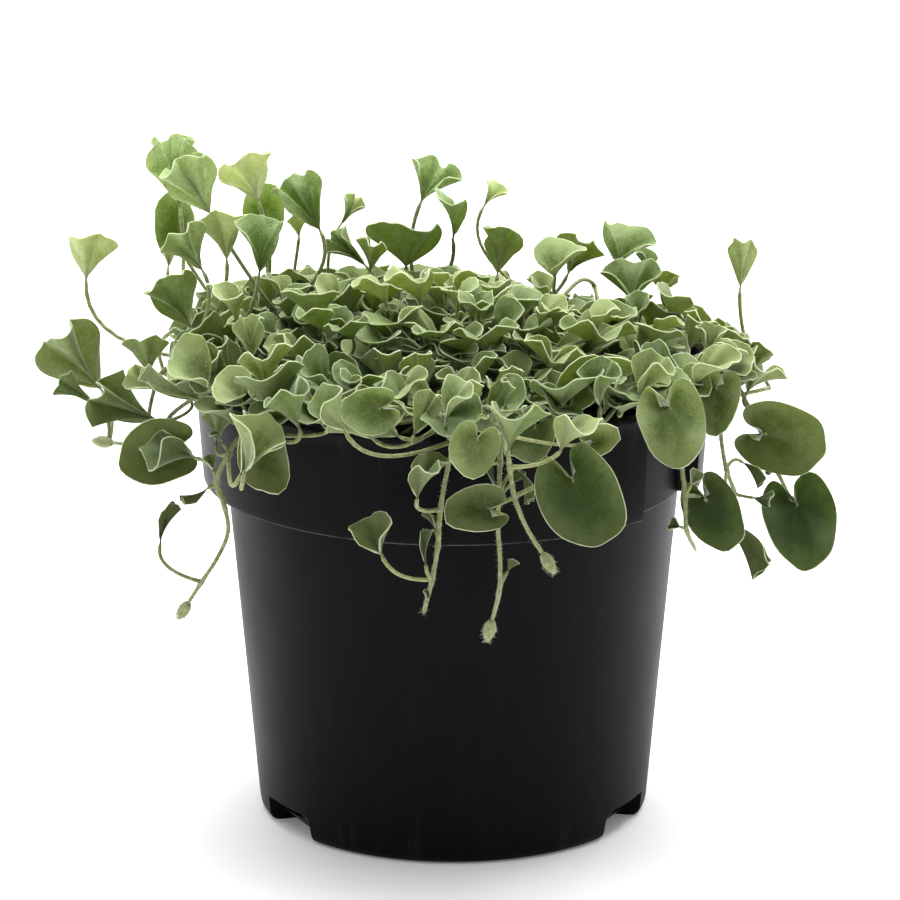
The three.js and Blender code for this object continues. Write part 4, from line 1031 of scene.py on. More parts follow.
# The fine pot: how sharply its recesses and notches are cut, and how finely its wall is drawn. Then
# in mm: circles of its underside, its inside over the floor, and how far a cut passes an edge
POT_FINE = dict(columns=240, soften=0.7, body_rows=14, collar_rows=8, corner_rows=5, close_columns=7,
                sharp=40)
UNDERSIDE = (0.0, 30.0, 44.0)
INSIDE = dict(first=9.2, fillet=1.5, notch_step=4.5, middle=20.0)
EDGE = 0.5


def inside_arc(angle, middle, half, soften):
    """1 inside an arc round a middle angle, 0 outside, with a smooth step at its ends, in degrees."""
    apart = np.abs((angle - middle + 180) % 360 - 180)
    x = np.clip((half - apart) / soften + 0.5, 0, 1)
    return x * x * (3 - 2 * x)


def pot_angles():
    """Angles round the pot, even but for closer ones at the ends of each recess and notch."""
    even = np.arange(POT_FINE["columns"]) * 360 / POT_FINE["columns"]
    half_notch = math.degrees(math.asin(0.5 * NOTCH["width"] / POT["base"]))
    widen = math.degrees(POT["wall"] / POT["collar_bottom"])
    span = RECESS["span"]
    ends = [start + at for start in RECESS["starts"] for at in (-widen, 0, span, span + widen)]
    ends += [middle + side * half_notch for middle in NOTCH["angles"] for side in (-1, 1)]
    shifts = np.linspace(-0.5, 0.5, POT_FINE["close_columns"]) * POT_FINE["soften"]
    close = [end + shift for end in ends for shift in shifts]
    return np.unique(np.round(np.concatenate((even, np.array(close) % 360)), 3)), half_notch


def pot_profile(recess, recess_inside, notch):
    """The pot's outline at each angle, from the middle of its underside out, up, in and down inside.

    Each place is (radius, height); in a recess the collar's radii give way to the recess's own, and in
    a notch the rounded corner of the base gives way to the notch's slope.
    """
    wall, floor, rim, base = POT["wall"], POT["floor"], POT["rim_height"], POT["base"]
    foot, corner = POT["collar_foot"], POT["corner"]
    grow = (POT["body_top"] - base) / (foot - corner)
    slope = (NOTCH["height"] + 1) / NOTCH["slope"]
    cut = base - NOTCH["depth"] + 1 / slope
    meet = slope * (base + EDGE - cut)
    rows = [(radius, 0.0, radius, 0.0) for radius in UNDERSIDE]
    for share in np.linspace(0, 1, POT_FINE["corner_rows"]):
        bend = share * math.pi / 2
        rows.append((base - corner + corner * math.sin(bend), corner - corner * math.cos(bend),
                     cut + (base + EDGE - cut) * share, meet * share))
    profile = [(radius + (other - radius) * notch, height + (level - height) * notch)
               for radius, height, other, level in rows]
    start = corner + (meet + 0.3 - corner) * notch
    for share in np.linspace(0.02, 1, POT_FINE["body_rows"]):
        level = start + (foot - EDGE - start) * share
        profile.append((base + grow * (level - corner), level))
    for radius, height in collar_outline():
        profile.append((radius + (RECESS["radius"] - radius) * recess, height))
    top = POT["collar_top"] - wall
    for radius, height in ((top + EDGE, rim), (top, rim - 0.4), (top - 0.1, 120.0),
                           (POT["collar_bottom"] - wall, foot + wall)):
        profile.append((radius + (RECESS["radius"] - wall - radius) * recess_inside, height))
    inner, first, fillet = base - wall, INSIDE["first"], INSIDE["fillet"]
    step = INSIDE["notch_step"] * notch
    profile += [(POT["body_top"] - wall, foot + wall - 0.3), (inner + grow * (first - corner), first)]
    profile += [(inner - step, floor + fillet), (inner - fillet - step, floor)]
    profile += [(INSIDE["middle"], floor), (0, floor)]
    radii = np.stack([np.broadcast_to(radius, notch.shape) for radius, _ in profile])
    heights = np.stack([np.broadcast_to(height, notch.shape) for _, height in profile])
    return radii, heights


def collar_outline():
    """The collar and its lip from below: a small round edge, a straight wall, and the lip's bead."""
    foot, rim = POT["collar_foot"], POT["rim_height"]
    low, top, lip = POT["collar_bottom"], POT["collar_top"], POT["lip_radius"]
    lip_foot = rim - POT["lip_height"]
    outline = [(POT["body_top"], foot), (low - 0.7, foot), (low - 0.2, foot + 0.2), (low, foot + 0.7)]
    for share in np.linspace(0.05, 1, POT_FINE["collar_rows"]):
        outline.append((low + (top - low) * share, foot + 0.7 + (lip_foot - 1.1 - foot) * share))
    outline += [(top + 0.25, lip_foot - 0.1), (lip - 0.35, lip_foot), (lip, lip_foot + 0.35)]
    outline += [(lip, rim - 0.7), (lip - 0.2, rim - 0.2), (lip - 0.7, rim)]
    return outline


def pot_mesh():
    """The whole pot as one closed surface: radius and height as functions of the angle round it."""
    angles, half_notch = pot_angles()
    half, widen = RECESS["span"] / 2, math.degrees(POT["wall"] / POT["collar_bottom"])
    recess, recess_inside = (
        sum(inside_arc(angles, start + half, reach, POT_FINE["soften"]) for start in RECESS["starts"])
        for reach in (half, half + widen))
    notch = sum(inside_arc(angles, middle, half_notch, POT_FINE["soften"]) for middle in NOTCH["angles"])
    radii, heights = pot_profile(recess, recess_inside, notch)
    around = np.radians(angles)
    points = np.stack((radii * np.cos(around), radii * np.sin(around), heights), axis=-1)
    rows, sides = radii.shape
    body = points[1:-1].reshape(-1, 3)
    poles = np.array((points[0, 0], points[-1, 0]))
    quads = ring_quads(rows - 2, sides)
    side = np.arange(sides)
    beside = np.roll(side, -1)
    last = (rows - 3) * sides
    low_cap = np.stack((np.full(sides, len(body)), beside, side), axis=-1)
    high_cap = np.stack((np.full(sides, len(body) + 1), last + side, last + beside), axis=-1)
    caps = np.vstack((low_cap, high_cap))
    return np.vstack((body, poles)), quads, caps


def slot_cutter(angle):
    """The box that a drain notch's slot is cut with: 8 corners turned about the pot's axis."""
    low = NOTCH["height"] - SLOT["drop"] - SLOT["height"]
    middle = POT["base"] - SLOT["inset"]
    corners = np.array([(x, y, z) for x in (-0.5, 0.5) for y in (-0.5, 0.5) for z in (0, 1)])
    corners = corners * (SLOT["depth"], SLOT["width"], SLOT["height"]) + (middle, 0, low)
    turn = math.radians(angle)
    turned = corners.copy()
    turned[:, 0] = corners[:, 0] * math.cos(turn) - corners[:, 1] * math.sin(turn)
    turned[:, 1] = corners[:, 0] * math.sin(turn) + corners[:, 1] * math.cos(turn)
    faces = ((0, 1, 3, 2), (4, 6, 7, 5), (0, 4, 5, 1), (2, 3, 7, 6), (0, 2, 6, 4), (1, 5, 7, 3))
    return turned, np.array(faces)


# Crumbs of peat and perlite on the soil, smaller ones far more often than large ones
CRUMBS = dict(
    seed=5, count=1500, spread=66.5, size=(0.5, 1.9), power=1.5, scale=0.8, light=0.05,
    squash=(0.6, 1.3), dent=0.22, recess=6.0,
)


def mound_height(radius):
    """The height of the soil's top at a radius, along the mound's outline."""
    outline = np.array(MOUND)[::-1]
    return SOIL["top"] + np.interp(radius, outline[:, 0], outline[:, 1])


def round_lump():
    """The 12 corners and 20 faces of an icosahedron of radius 1."""
    gold = (1 + math.sqrt(5)) / 2
    corners = [(0, a, b * gold) for a in (-1, 1) for b in (-1, 1)]
    corners += [(a, b * gold, 0) for a in (-1, 1) for b in (-1, 1)]
    corners += [(b * gold, 0, a) for a in (-1, 1) for b in (-1, 1)]
    corners = np.array(corners) / math.sqrt(1 + gold * gold)
    apart = np.linalg.norm(corners[:, None] - corners[None], axis=2)
    near = (apart > 0.1) & (apart < 1.1)
    faces = [(a, b, c) for a in range(12) for b in range(a + 1, 12) for c in range(b + 1, 12)
             if near[a, b] and near[b, c] and near[a, c]]
    turned = [face if np.dot(corners[face[0]], np.cross(corners[face[1]], corners[face[2]])) > 0
              else face[::-1] for face in faces]
    return corners, np.array(turned)


def add_crumbs(skin, noise):
    """Adds lumps of peat all over the mound: rounded lumps, each squashed and knocked out of round."""
    corners, faces = round_lump()
    count, sides = CRUMBS["count"], len(corners)
    size = noise.uniform(*CRUMBS["size"], count) ** CRUMBS["power"] * CRUMBS["scale"]
    radius = CRUMBS["spread"] * np.sqrt(noise.uniform(0, 1, count))
    angle = noise.uniform(0, 2 * math.pi, count)
    half = RECESS["span"] / 2
    recess = sum(inside_arc(np.degrees(angle), start + half, half + 4, 2) for start in RECESS["starts"])
    radius = np.minimum(radius, CRUMBS["spread"] - CRUMBS["recess"] * recess - size)
    squash = noise.uniform(*CRUMBS["squash"], (count, 1, 3))
    lumps = corners[None] * squash * (1 + noise.uniform(-CRUMBS["dent"], CRUMBS["dent"], (count, sides, 1)))
    centre = np.stack((radius * np.cos(angle), radius * np.sin(angle), mound_height(radius)), axis=-1)
    points = (lumps * size[:, None, None] + centre[:, None]).reshape(-1, 3)
    triangles = (faces[None] + sides * np.arange(count)[:, None, None]).reshape(-1, 3)
    light = noise.uniform(0, 1, count) < CRUMBS["light"]
    marks = np.zeros((count, sides, 4))
    marks[..., 0] = light[:, None]
    marks[..., 1] = noise.uniform(0, 1, (count, 1))
    marks[..., 3] = 1
    skin.add(points, NO_QUADS, triangles, marks.reshape(-1, 4), np.zeros((len(points), 2)))


class Finish:
    """A material's nodes, made one at a time and joined by name."""

    def __init__(self, name):
        self.material = bpy.data.materials.new(name)
        self.material.use_nodes = True
        self.nodes = self.material.node_tree.nodes
        self.links = self.material.node_tree.links
        self.shader = self.nodes["Principled BSDF"]

    def node(self, kind, inputs=(), **settings):
        """A new node with its settings and its inputs."""
        made = self.nodes.new(kind)
        for key, value in settings.items():
            setattr(made, key, value)
        for key, value in dict(inputs).items():
            self.put(made.inputs[key], value)
        return made

    def put(self, socket, value):
        """Links a socket to a node's output, or else sets it."""
        if isinstance(value, bpy.types.NodeSocket):
            self.links.new(value, socket)
        else:
            socket.default_value = value

    def math(self, operation, *values, clamp=False):
        """The output of one sum on values or outputs."""
        made = self.nodes.new("ShaderNodeMath")
        made.operation = operation
        made.use_clamp = clamp
        for socket, value in zip(made.inputs, values):
            self.put(socket, value)
        return made.outputs[0]

    def times(self, first, second):
        return self.math("MULTIPLY", first, second)

    def plus(self, first, second):
        return self.math("ADD", first, second)

    def less(self, first, second):
        return self.math("SUBTRACT", first, second)

    def ramp(self, value, low, high, start=0.0, end=1.0):
        """A smooth step of a value from low to high, between start and end."""
        made = self.node("ShaderNodeMapRange", interpolation_type="SMOOTHSTEP")
        for key, number in ((0, value), (1, low), (2, high), (3, start), (4, end)):
            self.put(made.inputs[key], number)
        return made.outputs[0]

    def mix(self, share, first, second, blend="MIX"):
        """A mix of two colours, each a node's output or three numbers."""
        made = self.node("ShaderNodeMix", data_type="RGBA", blend_type=blend)
        self.put(made.inputs["Factor"], share)
        for socket, colour in zip(made.inputs[6:8], (first, second)):
            self.put(socket, colour if isinstance(colour, bpy.types.NodeSocket) else (*colour, 1.0))
        return made.outputs[2]

    def noise(self, place, scale, detail, roughness=0.55):
        """Cloudy noise from 0 to 1, with so many cells per metre."""
        return self.node("ShaderNodeTexNoise", {"Vector": place, "Scale": scale, "Detail": detail,
                                                 "Roughness": roughness}).outputs["Fac"]

    def object_place(self):
        return self.node("ShaderNodeTexCoord").outputs["Object"]

    def parts(self, vector):
        """The three coordinates of a vector."""
        return self.node("ShaderNodeSeparateXYZ", {0: vector}).outputs

    def marks(self):
        """The marks of a piece as (first, second, third, fourth)."""
        made = self.node("ShaderNodeAttribute", attribute_name="marks", attribute_type="GEOMETRY")
        split = self.node("ShaderNodeSeparateColor", {"Color": made.outputs["Color"]})
        return (*split.outputs, made.outputs["Alpha"])

    def bump(self, height, strength, distance):
        """Fine relief, by its height from 0 to 1 and a distance in metres."""
        made = self.node("ShaderNodeBump", {"Height": height, "Strength": strength, "Distance": distance})
        self.links.new(made.outputs[0], self.shader.inputs["Normal"])

    def shade(self, **values):
        """Sets or links the shader's sockets, by name."""
        for name, value in values.items():
            socket = self.shader.inputs[name.replace("_", " ")]
            if isinstance(value, tuple) and len(value) == 3 and socket.type == "RGBA":
                value = (*value, 1.0)
            self.put(socket, value)


def linear(red, green, blue):
    """A colour given as screen values from 0 to 255, as the linear values that shaders take."""
    parts = [part / 255 for part in (red, green, blue)]
    return tuple(part / 12.92 if part <= 0.04045 else ((part + 0.055) / 1.055) ** 2.4 for part in parts)


# Foliage: noises per metre, how patches of green and silver hair are cut from them, and the heights in
# metres between which the painted shade of low leaves gives way to middling colour, and that to the painted
# light of high leaves
FOLIAGE_NOISE = dict(patches=230.0, grain=1500.0, hair=3200.0, wander=260.0, stem=700.0)
INNER_HAIR, OUTER_HAIR, STEM_HAIR = (0.3, 0.72), (0.26, 0.74), (0.35, 0.75)
RIM_HAIR = (-0.1, 0.14)
TINT_SHIFT = 0.22
VEINS = dict(count=9.0, wander=0.5, width=0.05, fan_from=0.12)
PAINTED_SHADE_HEIGHTS, PAINTED_LIGHT_HEIGHTS = (0.1, 0.158), (0.148, 0.183)
MIDDLE_TONE = (0.92, 0.9, 0.86)
TINT_VALUE, TINT_HUE = (0.86, 1.12), (0.512, 0.488)


def mottle_of(finish, patches, grain, tint):
    """Half coarse and half fine noise, shifted by the leaf's own tint."""
    mottle = finish.plus(finish.times(patches, 0.5), finish.times(grain, 0.5))
    return finish.plus(mottle, finish.times(finish.less(tint, 0.5), TINT_SHIFT))


def vein_pattern(finish, place, across, along_it):
    """Lines that fan out from the foot and fade at the rim: thin stripes of the UV across the blade."""
    wander = finish.less(finish.noise(place, FOLIAGE_NOISE["wander"], 2.0), 0.5)
    fan = finish.plus(finish.times(across, VEINS["count"]), finish.times(wander, VEINS["wander"]))
    from_vein = finish.math("ABSOLUTE", finish.less(finish.math("FRACT", fan), 0.5))
    width = finish.math("DIVIDE", VEINS["width"], finish.math("MAXIMUM", along_it, VEINS["fan_from"]))
    vein = finish.math("SUBTRACT", 1.0, finish.math("DIVIDE", from_vein, width), clamp=True)
    return finish.times(vein, finish.ramp(along_it, 0.97, 0.6))


def painted_light_by_height(finish, place, settings):
    """Painted shade and light: what the height over the ground multiplies a leaf's colour by, from dark
    painted shade low down through middling to bright painted light high up.
    """
    height = finish.parts(place)[2]
    tone = finish.mix(finish.ramp(height, *PAINTED_SHADE_HEIGHTS), settings.low_painted_shade, MIDDLE_TONE)
    return finish.mix(finish.ramp(height, *PAINTED_LIGHT_HEIGHTS), tone, settings.high_painted_light)


def foliage_finish(settings):
    """Silver hair over green skin: mottled and paler on the inner face, with veins, painted shade on low
    leaves and painted light on high ones, and a pale margin that is partly hair and partly a painted
    highlight.
    """
    finish = Finish("silver_foliage")
    place = finish.object_place()
    inner, tint, blade, edge = finish.marks()
    across, along_it, _ = finish.parts(finish.node("ShaderNodeUVMap", uv_map="UVMap").outputs[0])

    patches = finish.noise(place, FOLIAGE_NOISE["patches"], 4.0, 0.6)
    grain = finish.noise(place, FOLIAGE_NOISE["grain"], 3.0, 0.7)
    mottle = mottle_of(finish, patches, grain, tint)
    inner_hair = finish.ramp(finish.plus(mottle, finish.ramp(along_it, 0.4, 1.0, *RIM_HAIR)), *INNER_HAIR)
    inner_colour = finish.mix(inner_hair, settings.inner_green, settings.inner_silver)
    outer_hair = finish.ramp(mottle, *OUTER_HAIR)
    outer_colour = finish.mix(outer_hair, settings.outer_green, settings.outer_silver)
    skin = finish.mix(inner, outer_colour, inner_colour)
    vein = finish.times(vein_pattern(finish, place, across, along_it), finish.times(blade, settings.veins))
    skin = finish.mix(vein, skin, settings.inner_silver)

    stem_hair = finish.ramp(finish.noise(place, FOLIAGE_NOISE["stem"], 3.0, 0.7), *STEM_HAIR)
    stem_colour = finish.mix(stem_hair, settings.stem_green, settings.stem_silver)
    foot = finish.times(finish.ramp(along_it, 0.2, 0.0), 0.45)
    skin = finish.mix(blade, stem_colour, finish.mix(foot, skin, stem_colour))
    # Painted shade on low blades and painted light on high ones, multiplied into the colour by height
    shaded_and_lit = finish.mix(1.0, skin, painted_light_by_height(finish, place, settings), "MULTIPLY")
    skin = finish.mix(blade, skin, shaded_and_lit)
    # The pale margin: partly the rim's hair and partly a painted highlight of the lit edge; hairs, buds and
    # stem tips take the same pale colour as hair
    pale = finish.times(finish.ramp(edge, 0.1, 0.95), settings.margin)
    skin = finish.mix(pale, skin, settings.margin_hair_and_highlight_colour)
    hue = finish.node("ShaderNodeHueSaturation", {
        "Hue": finish.ramp(tint, 0.0, 1.0, *TINT_HUE), "Value": finish.ramp(tint, 0.0, 1.0, *TINT_VALUE),
        "Saturation": 1.0, "Color": skin})
    finish.shade(Base_Color=hue.outputs[0], Roughness=finish.ramp(grain, 0.3, 0.7, 0.62, 0.8),
                 Specular_IOR_Level=0.28, Sheen_Weight=0.28, Sheen_Roughness=0.45,
                 Sheen_Tint=(0.88, 0.95, 0.82), Subsurface_Weight=0.4, Subsurface_Scale=0.0014,
                 Subsurface_Radius=(1.1, 1.2, 0.5))
    hair = finish.noise(place, FOLIAGE_NOISE["hair"], 2.0, 0.6)
    relief = finish.plus(finish.times(hair, 0.35), finish.times(vein, 0.8))
    finish.bump(finish.plus(relief, finish.times(patches, 0.8)), 0.35, 0.0004)
    return finish.material


# Plastic: noises per metre, heights in metres between which dust gathers at foot and rim, and the
# colour of dust
PLASTIC_NOISE = dict(cloud=18.0, grain=1400.0, wear_and_edge_highlight=3.0)
STREAKS = (90.0, 90.0, 9.0)
FOOT_DUST, RIM_DUST = (0.016, 0.0), (0.112, 0.128)
# Painted highlight along the collar's lower edge: distances in metres from it at which it starts and is full
EDGE_HIGHLIGHT_BAND = (0.0007, 0.0001)
DUST_COLOUR = (0.09, 0.085, 0.078)


def plastic_finish(settings):
    """Black moulded plastic: satin, faintly mottled, with scuffs and dust near its edges, and a painted
    highlight along the collar's lower edge.
    """
    finish = Finish("black_plastic")
    place = finish.object_place()
    height = finish.parts(place)[2]
    cloud = finish.noise(place, PLASTIC_NOISE["cloud"], 3.0, 0.5)
    grain = finish.noise(place, PLASTIC_NOISE["grain"], 2.0, 0.6)
    streaks = finish.node("ShaderNodeMapping", {"Vector": place, "Scale": STREAKS})
    wear_and_edge_highlight = finish.noise(streaks.outputs[0], PLASTIC_NOISE["wear_and_edge_highlight"], 4.0, 0.65)
    near_ends = finish.math("MAXIMUM", finish.ramp(height, *FOOT_DUST), finish.ramp(height, *RIM_DUST))
    dust = finish.times(finish.ramp(wear_and_edge_highlight, 0.5, 0.78), finish.math("ADD", near_ends, 0.25, clamp=True))
    dust = finish.times(dust, settings.dust)
    colour = finish.mix(cloud, settings.plastic, tuple(part * 1.25 for part in settings.plastic))
    colour = finish.mix(dust, colour, DUST_COLOUR)
    # Painted highlight: a thin pale line along the collar's lower edge, broken by the streaks, in place of
    # light caught on the edge
    from_foot = finish.math("ABSOLUTE", finish.less(height, POT["collar_foot"] * MM))
    painted_edge_highlight = finish.times(finish.ramp(from_foot, *EDGE_HIGHLIGHT_BAND), finish.ramp(wear_and_edge_highlight, 0.2, 0.6))
    colour = finish.mix(painted_edge_highlight, colour, settings.wear_and_edge_highlight)
    matte = finish.ramp(cloud, 0.3, 0.7, settings.roughness - 0.04, settings.roughness + 0.05)
    rough = finish.plus(matte, finish.times(dust, 0.4))
    finish.shade(Base_Color=colour, Roughness=rough, Specular_IOR_Level=0.06)
    finish.bump(finish.plus(finish.times(grain, 0.5), finish.times(cloud, 0.5)), 0.12, 0.0003)
    return finish.material


# Soil: noises and cells per metre, and the darkest peat
SOIL_NOISE = dict(coarse=420.0, fine=1900.0, cells=520.0)
WET_PEAT = (0.004, 0.003, 0.002)


def soil_finish(settings):
    """Dark moist peat: brown-black crumbs and fibres, with pale grains of perlite."""
    finish = Finish("dark_peat")
    place = finish.object_place()
    coarse = finish.noise(place, SOIL_NOISE["coarse"], 5.0, 0.7)
    fine = finish.noise(place, SOIL_NOISE["fine"], 4.0, 0.7)
    peat = finish.mix(finish.ramp(coarse, 0.35, 0.7), settings.peat_dark, settings.peat_light)
    peat = finish.mix(finish.times(fine, 0.4), peat, WET_PEAT)
    colour = finish.mix(finish.marks()[0], peat, settings.perlite)
    cells = finish.node("ShaderNodeTexVoronoi", {"Vector": place, "Scale": SOIL_NOISE["cells"]})
    relief = finish.plus(finish.times(coarse, 0.7), finish.less(0.4, cells.outputs["Distance"]))
    rough = finish.ramp(fine, 0.2, 0.8, 0.82, 0.98)
    finish.shade(Base_Color=colour, Roughness=rough, Specular_IOR_Level=0.2)
    finish.bump(finish.plus(relief, finish.times(fine, 0.4)), 0.9, 0.0012)
    return finish.material


def colour_setting(name, description, *screen):
    """A colour, its default given as screen values."""
    return FloatVectorProperty(name=name, description=description, subtype="COLOR", size=3, min=0, max=1,
                               default=linear(*screen))


def tone_setting(name, description, *tone):
    """What a colour is multiplied by."""
    return FloatVectorProperty(name=name, description=description, size=3, min=0, max=2, default=tone)


def share_setting(name, description, default):
    """A share from 0 to 1."""
    return FloatProperty(name=name, description=description, default=default, min=0, max=1, subtype="FACTOR")


class PotSettings(bpy.types.PropertyGroup):
    """Sizes and finish of the pot."""

    columns: IntProperty(name="Columns", description="Faces round the pot's wall",
                         default=POT_FINE["columns"], min=48, max=720)
    plastic: colour_setting("Plastic", "Colour of the moulded plastic", 7, 7, 8)
    # The colour of the painted highlight along the collar's lower edge
    wear_and_edge_highlight: colour_setting("Rubbed edge", "Colour of the rubbed lower edge of the collar", 84, 82, 80)
    roughness: share_setting("Roughness", "How matte the plastic is", 0.43)
    dust: share_setting("Dust", "How much dust and rubbing shows at rim and foot", 0.1)


class SoilSettings(bpy.types.PropertyGroup):
    """Colours of the soil."""

    peat_dark: colour_setting("Dark peat", "Colour of moist peat", 26, 20, 16)
    peat_light: colour_setting("Light peat", "Colour of drier crumbs", 66, 50, 38)
    perlite: colour_setting("Perlite", "Colour of the pale grains", 196, 190, 178)


class FoliageSettings(bpy.types.PropertyGroup):
    """Sizes and colours of stems and leaves."""

    thickness: FloatProperty(name="Blade thickness", description="Thickness of a leaf blade", default=0.00038,
                             min=0.0001, max=0.001, unit="LENGTH", precision=5)
    fillers: IntProperty(name="Small leaves", description="Small leaves that fill the mass of foliage",
                         default=FILL["count"], min=0, max=1000)
    inner_green: colour_setting("Inner green", "Green patches of the inner face", 78, 100, 30)
    inner_silver: colour_setting("Inner silver", "Silver Silver hair of the inner face", 140, 158, 104)
    outer_green: colour_setting("Outer green", "Green of the outer face", 112, 130, 64)
    outer_silver: colour_setting("Outer silver", "Hair of the outer face", 164, 176, 136)
    stem_green: colour_setting("Stem green", "Skin of stems and stalks", 116, 124, 68)
    stem_silver: colour_setting("Stem silver", "Hair of stems and stalks", 164, 168, 130)
    # Pale colour of hair, and of the leaf margin, where it is partly a painted highlight of the lit edge
    margin_hair_and_highlight_colour: colour_setting("Margin", "Pale hairy margin of the blades", 206, 216, 184)
    # Painted shade of low leaves and painted light of high leaves, multiplied into their colour by height
    low_painted_shade: tone_setting("Old tone", "What the colour of low, old leaves is multiplied by", 0.2, 0.22, 0.11)
    high_painted_light: tone_setting("Young tone", "What the colour of high, young leaves is multiplied by",
                             1.78, 1.7, 1.95)
    # How much the pale margin shows: partly hair, partly a painted highlight of the lit edge
    margin: share_setting("Margin strength", "How much the pale margin shows", 0.5)
    veins: share_setting("Vein strength", "How much the veins show", 0.14)


class StageSettings(bpy.types.PropertyGroup):
    """Floor, lights and camera."""

    floor_width: FloatProperty(name="Floor width", description="Width of the pale floor", default=16.0,
                               min=1, unit="LENGTH")
    distance: FloatProperty(name="Camera distance", description="Distance from the camera to the pot's axis",
                            default=CAMERA["distance"] * MM, min=0.5, unit="LENGTH")
    height: FloatProperty(name="Camera height", description="Height of the camera over the floor",
                          default=CAMERA["height"] * MM, min=0, unit="LENGTH")
    pitch: FloatProperty(name="Camera pitch", description="How far the camera looks down",
                         default=PITCH, unit="ROTATION")
    light: FloatProperty(name="Light", description="Strength of the studio lights", default=1.0, min=0)


def cut_slots(pot, context):
    """Cuts the slots of the drain notches out of the pot, and keeps the result as its mesh."""
    mesh = bpy.data.meshes.new("slots")
    boxes = [slot_cutter(angle) for angle in NOTCH["angles"]]
    corners = np.vstack([box[0] for box in boxes]) * MM
    faces = np.vstack([box[1] + 8 * index for index, box in enumerate(boxes)])
    mesh.from_pydata(corners.tolist(), [], faces.tolist())
    cutter = scene_object("slots", mesh)
    cut = pot.modifiers.new("slots", "BOOLEAN")
    cut.operation, cut.solver, cut.object = "DIFFERENCE", "EXACT", cutter
    context.view_layer.update()
    shaped = bpy.data.meshes.new_from_object(pot.evaluated_get(context.evaluated_depsgraph_get()))
    pot.modifiers.clear()
    if len(shaped.polygons) < len(pot.data.polygons):
        raise RuntimeError("the drain slots could not be cut")
    pot.data = shaped
    bpy.data.objects.remove(cutter)


class DICHONDRA_OT_pot(bpy.types.Operator):
    """Build the pot: a collar with two finger recesses over a tapered body with three drain notches"""

    bl_idname = "dichondra.pot"
    bl_label = "Build pot"

    def execute(self, context):
        settings = context.scene.dichondra_pot
        POT_FINE["columns"] = settings.columns
        skin = Skin()
        points, quads, caps = pot_mesh()
        skin.add(points, quads, caps, np.zeros((len(points), 4)), np.zeros((len(points), 2)))
        pot = skin.build("pot_shell", plastic_finish(settings))
        cut_slots(pot, context)
        smooth_but_sharp(pot, POT_FINE["sharp"])
        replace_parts(pot, "pot")
        return {"FINISHED"}


class DICHONDRA_OT_soil(bpy.types.Operator):
    """Finish the soil, and lay crumbs of peat and perlite on it"""

    bl_idname = "dichondra.soil"
    bl_label = "Build soil"

    def execute(self, context):
        finish = soil_finish(context.scene.dichondra_soil)
        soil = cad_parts["soil"]
        soil.data.materials.clear()
        soil.data.materials.append(finish)
        skin = Skin()
        add_crumbs(skin, np.random.default_rng(CRUMBS["seed"]))
        skin.build("soil_crumbs", finish)
        return {"FINISHED"}


class DICHONDRA_OT_stems(bpy.types.Operator):
    """Build each leafy stem, with its leaves, stalks, buds and hairs"""

    bl_idname = "dichondra.stems"
    bl_label = "Build leafy stems"

    def execute(self, context):
        settings = context.scene.dichondra_foliage
        finish = foliage_finish(settings)
        stems, crowd = grow_plant()
        nodes = sorted(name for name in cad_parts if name.startswith("stem_"))
        if len(nodes) != len(stems):
            raise RuntimeError(f"{len(stems)} stems were grown for {len(nodes)} solids")
        hanging_leaves(stems, crowd)
        fill_dome(stems, crowd, settings.fillers)
        young_leaves(stems, crowd)
        draws = Draws(FINE_SEED)
        noise = np.random.default_rng(FINE_SEED)
        for index, (node, stem) in enumerate(zip(nodes, stems)):
            skin = Skin()
            stem["index"] = index
            add_stem(skin, stem, noise)
            if stem["tip"]:
                add_bud(skin, stem, noise)
            for leaf in stem["leaves"]:
                tint = draws() * min(1.0, OLD_LEAF / leaf["size"])
                add_stalk(skin, leaf, tint)
                add_blade(skin, leaf, settings.thickness / MM, draws, tint)
            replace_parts(skin.build(node + "_fine", finish), node)
        return {"FINISHED"}


class DICHONDRA_OT_stage(bpy.types.Operator):
    """Lay the pale floor, hang the soft lights and set up the camera"""

    bl_idname = "dichondra.stage"
    bl_label = "Set the stage"

    def execute(self, context):
        scene, settings = context.scene, context.scene.dichondra_stage
        lay_floor(settings)
        hang_lights(scene, settings)
        set_camera(scene, settings)
        return {"FINISHED"}


# The room's light by direction, a dot product plus a level, soft lights as (name, place in metres,
# watts, width in metres) and the place in metres that they are aimed at
ROOM_SIDE = (-0.03, 0.55, 0.3)
ROOM_LEVEL = 0.57
LIGHTS = (
    ("over_back", (0.15, 0.5, 1.6), 52.0, 1.8),
    ("over_front", (-0.3, -0.5, 2.0), 9.0, 1.4),
)
LIT_PLACE = (0.0, 0.0, 0.1)
SENSOR_WIDTH = 36.0
PICTURE_WIDTH = 900


def smooth_but_sharp(piece, angle):
    """Smooth shading, but for edges that turn by more than an angle in degrees."""
    mesh = piece.data
    mesh.polygons.foreach_set("use_smooth", np.ones(len(mesh.polygons), bool))
    mesh.set_sharp_from_angle(angle=math.radians(angle))


def lay_floor(settings):
    """A pale square floor."""
    half = settings.floor_width / 2
    mesh = bpy.data.meshes.new("floor")
    corners = [(-half, -half, 0), (half, -half, 0), (half, half, 0), (-half, half, 0)]
    mesh.from_pydata(corners, [], [(0, 1, 2, 3)])
    floor = scene_object("floor", mesh)
    finish = Finish("pale_floor")
    finish.shade(Base_Color=(0.95, 0.95, 0.95), Roughness=0.9, Specular_IOR_Level=0.1,
                 Emission_Color=(1.0, 1.0, 1.0), Emission_Strength=0.1)
    mesh.materials.append(finish.material)


